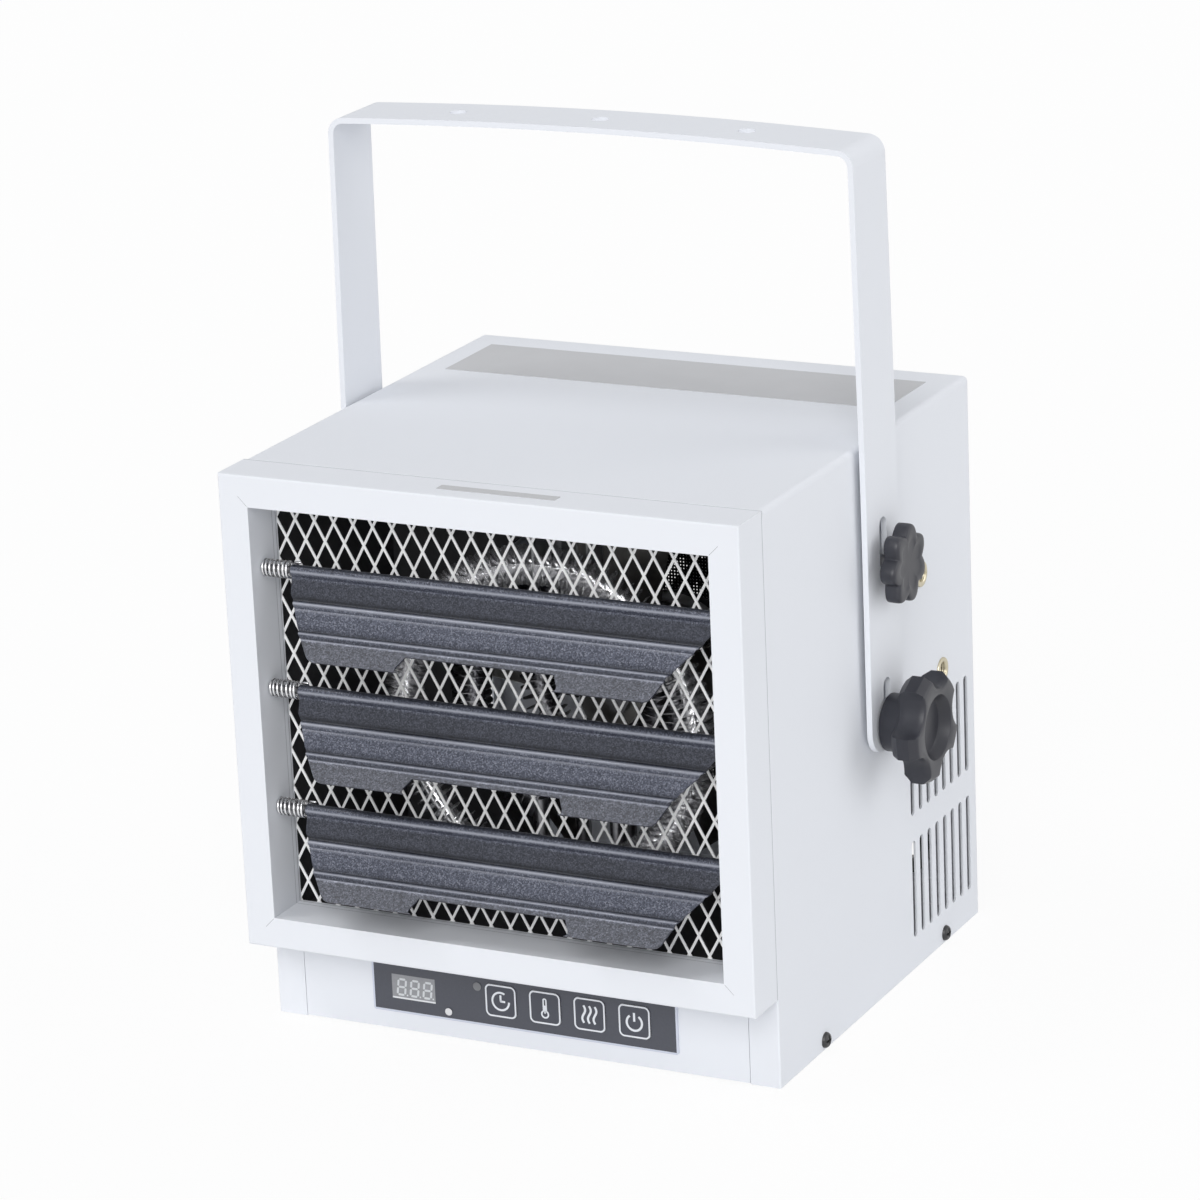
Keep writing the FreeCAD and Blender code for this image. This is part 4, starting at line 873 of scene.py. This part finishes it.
dress(makeDigits(), plainInk("digitFilm", (0.62, 0.64, 0.66, 1)), "housing")
clearLens = moulded("clearLens", (0.66, 0.66, 0.67, 1), (0.78, 0.78, 0.79, 1), 0.16, 300.0, 0.01)
dimLens = moulded("dimLens", (0.16, 0.162, 0.175, 1), (0.20, 0.205, 0.215, 1), 0.3, 300.0, 0.01)
dress(makeLens("heatLens", "heat_indicator", 2.05, 0.5), clearLens, "housing", "heat_indicator")
dress(makeLens("receiverLens", "remote_receiver", 2.35, 0.25), dimLens, "housing", "remote_receiver")
print("display made")

# finishes for the nodes that stay
whiteCoat = powderCoat("whiteCoat")
bezelCoat = powderCoat("bezelCoat", bezelLines)
rodSteel = metal("rodSteel", (0.16, 0.16, 0.17, 1), (0.26, 0.26, 0.27, 1), 0.34)
darkDuct = metal("darkDuct", (0.030, 0.030, 0.033, 1), (0.055, 0.055, 0.060, 1), 0.72, (60.0,) * 3, 0.1)
galvanised = metal("galvanised", (0.46, 0.47, 0.48, 1), (0.62, 0.63, 0.64, 1), 0.42, (90.0,) * 3)
fanMetal = metal("fanMetal", (0.20, 0.195, 0.19, 1), (0.32, 0.31, 0.30, 1), 0.36, (120.0,) * 3)
greyPlate = moulded("greyPlate", (0.50, 0.505, 0.52, 1), (0.55, 0.555, 0.57, 1), 0.62, 1200.0, 0.05)
keyFilm = moulded("keyFilm", pad["dark"], pad["light"], pad["rough"], pad["grain"], 0.05)
boardGreen = moulded("boardGreen", (0.02, 0.10, 0.05, 1), (0.03, 0.14, 0.07, 1), 0.4)
insulator = moulded("insulator", (0.62, 0.60, 0.55, 1), (0.70, 0.68, 0.63, 1), 0.3)
darkNylon = moulded("darkNylon", (0.020, 0.020, 0.022, 1), (0.032, 0.032, 0.034, 1), 0.4)
motorBlack = moulded("motorBlack", (0.030, 0.030, 0.032, 1), (0.045, 0.045, 0.048, 1), 0.38)
clampSteel = ["%s_%s_%s" % (level, kind, side) for level in ("upper", "lower")
              for kind in ("stud", "washer") for side in ("right", "left")]
finishes = {
    whiteCoat: ["housing_shell", "control_fascia", "mounting_bracket", "base_pan", "rear_panel"],
    bezelCoat: ["front_bezel"],
    darkDuct: ["air_duct", "fan_shroud"],
    galvanised: ["motor_spider", "element_hanger"],
    fanMetal: ["fan_wheel"],
    greyPlate: ["top_plate", "bezel_strip"],
    padFilm("padPrint"): ["keypad_overlay"],
    keyFilm: [key + "_button" for key in marks],
    displayFilm("displayFilm"): ["display_window"],
    boardGreen: ["control_board"],
    insulator: ["element_bushes", "terminal_block"],
    darkNylon: ["cable_gland", "contactor", "thermal_cutout", "pivot_spacers"],
    motorBlack: ["fan_motor"],
    rodSteel: ["louver_rod_1", "louver_rod_2", "louver_rod_3", "fan_shaft", "fan_nut"] + clampSteel,
}
for material, names in finishes.items():
    for name in names:
        paint(nodes[name], material)
print("finishes set")

# floor, light and camera
floor = {"half": 6.0, "z": -0.0005, "paper": (0.90, 0.90, 0.90, 1), "cloud": (0.87, 0.87, 0.88, 1),
         "white": 0.92}
studio = {"key": ((0.24, -0.80, 0.46), 40.0, 1.53), "side": ((1.0, 0.3, 0.3), 50.0, 0.74),
          "over": ((-0.43, -0.30, 0.85), 24.0, 0.56)}
backdrop = {"light": (0.42, 0.425, 0.435, 1), "seen": (1.0, 1.0, 1.0, 1)}
photoView = {"place": (1.133381, -2.227187, 0.997152), "turn": (72.361995, 2.402084, 26.458569),
             "focal": 149.964, "film": 36.0, "reach": 50.0}


# 1 on what the camera sees, itself or in a reflection or through glass, and 0 on what only lights the part
def seenRays(start):
    rays = ("Is Camera Ray", "Is Glossy Ray", "Is Transmission Ray")
    seen = sum((start.node("ShaderNodeLightPath", {}, {}, ray) for ray in rays), 0.0)
    return seen.maths("MINIMUM", seen, 1.0)


def makeFloor():
    corner = np.array([-floor["half"], floor["half"]])
    x, y = np.meshgrid(corner, corner, indexing="ij")
    sheet = gridPiece("floor", np.stack([x, y, np.full_like(x, floor["z"])], -1), smooth=False)
    material, shader, start, place = newFinish("floorPaper", Roughness=0.9)
    tone = blendColour(start, noise(start, place, 3.0) * 0.2, floor["paper"], floor["cloud"])
    feed(shader, "Base Color", tone)
    white = start.node("ShaderNodeEmission", {}, {"Strength": 1.0})
    shaders = {0: seenRays(start) * floor["white"], 1: Wire(start.tree, shader.outputs[0]), 2: white}
    mixed = start.node("ShaderNodeMixShader", {}, shaders)
    feed(start.tree.nodes["Material Output"], "Surface", mixed)
    paint(sheet, material)


def placeInScene(name, data, matrix):
    holder = bpy.data.objects.new(name, data)
    bpy.context.scene.collection.objects.link(holder)
    holder.matrix_world = matrix
    return holder


# a broad sun: parallel light whose wide angle gives soft edges
def makeLight(name, direction, angle, power):
    lamp = bpy.data.lights.new(name, "SUN")
    lamp.energy = power
    lamp.angle = math.radians(angle)
    z = np.array(direction, float) / np.linalg.norm(direction)
    x = np.cross((0, 0, 1), z)
    x /= np.linalg.norm(x)
    turn = Matrix(np.stack([x, np.cross(z, x), z], 1).tolist())
    placeInScene(name, lamp, Matrix.Translation(z.tolist()) @ turn.to_4x4())


def makeWorld():
    world = bpy.data.worlds.new("studio")
    bpy.context.scene.world = world
    world.use_nodes = True
    sky = Wire(world.node_tree)
    glow = blendColour(sky, seenRays(sky), backdrop["light"], backdrop["seen"])
    feed(world.node_tree.nodes["Background"], "Color", glow)


def makeCamera():
    eye = bpy.data.cameras.new("photoCamera")
    eye.lens = photoView["focal"]
    eye.sensor_width = photoView["film"]
    eye.clip_end = photoView["reach"]
    turn = Euler([math.radians(angle) for angle in photoView["turn"]]).to_matrix()
    return placeInScene("photoCamera", eye, Matrix.Translation(photoView["place"]) @ turn.to_4x4())


makeFloor()
for name, (direction, angle, power) in studio.items():
    makeLight(name + "Light", direction, angle, power)
makeWorld()
bpy.context.scene.camera = makeCamera()
bpy.context.scene.view_settings.view_transform = "Standard"
print("studio ready")
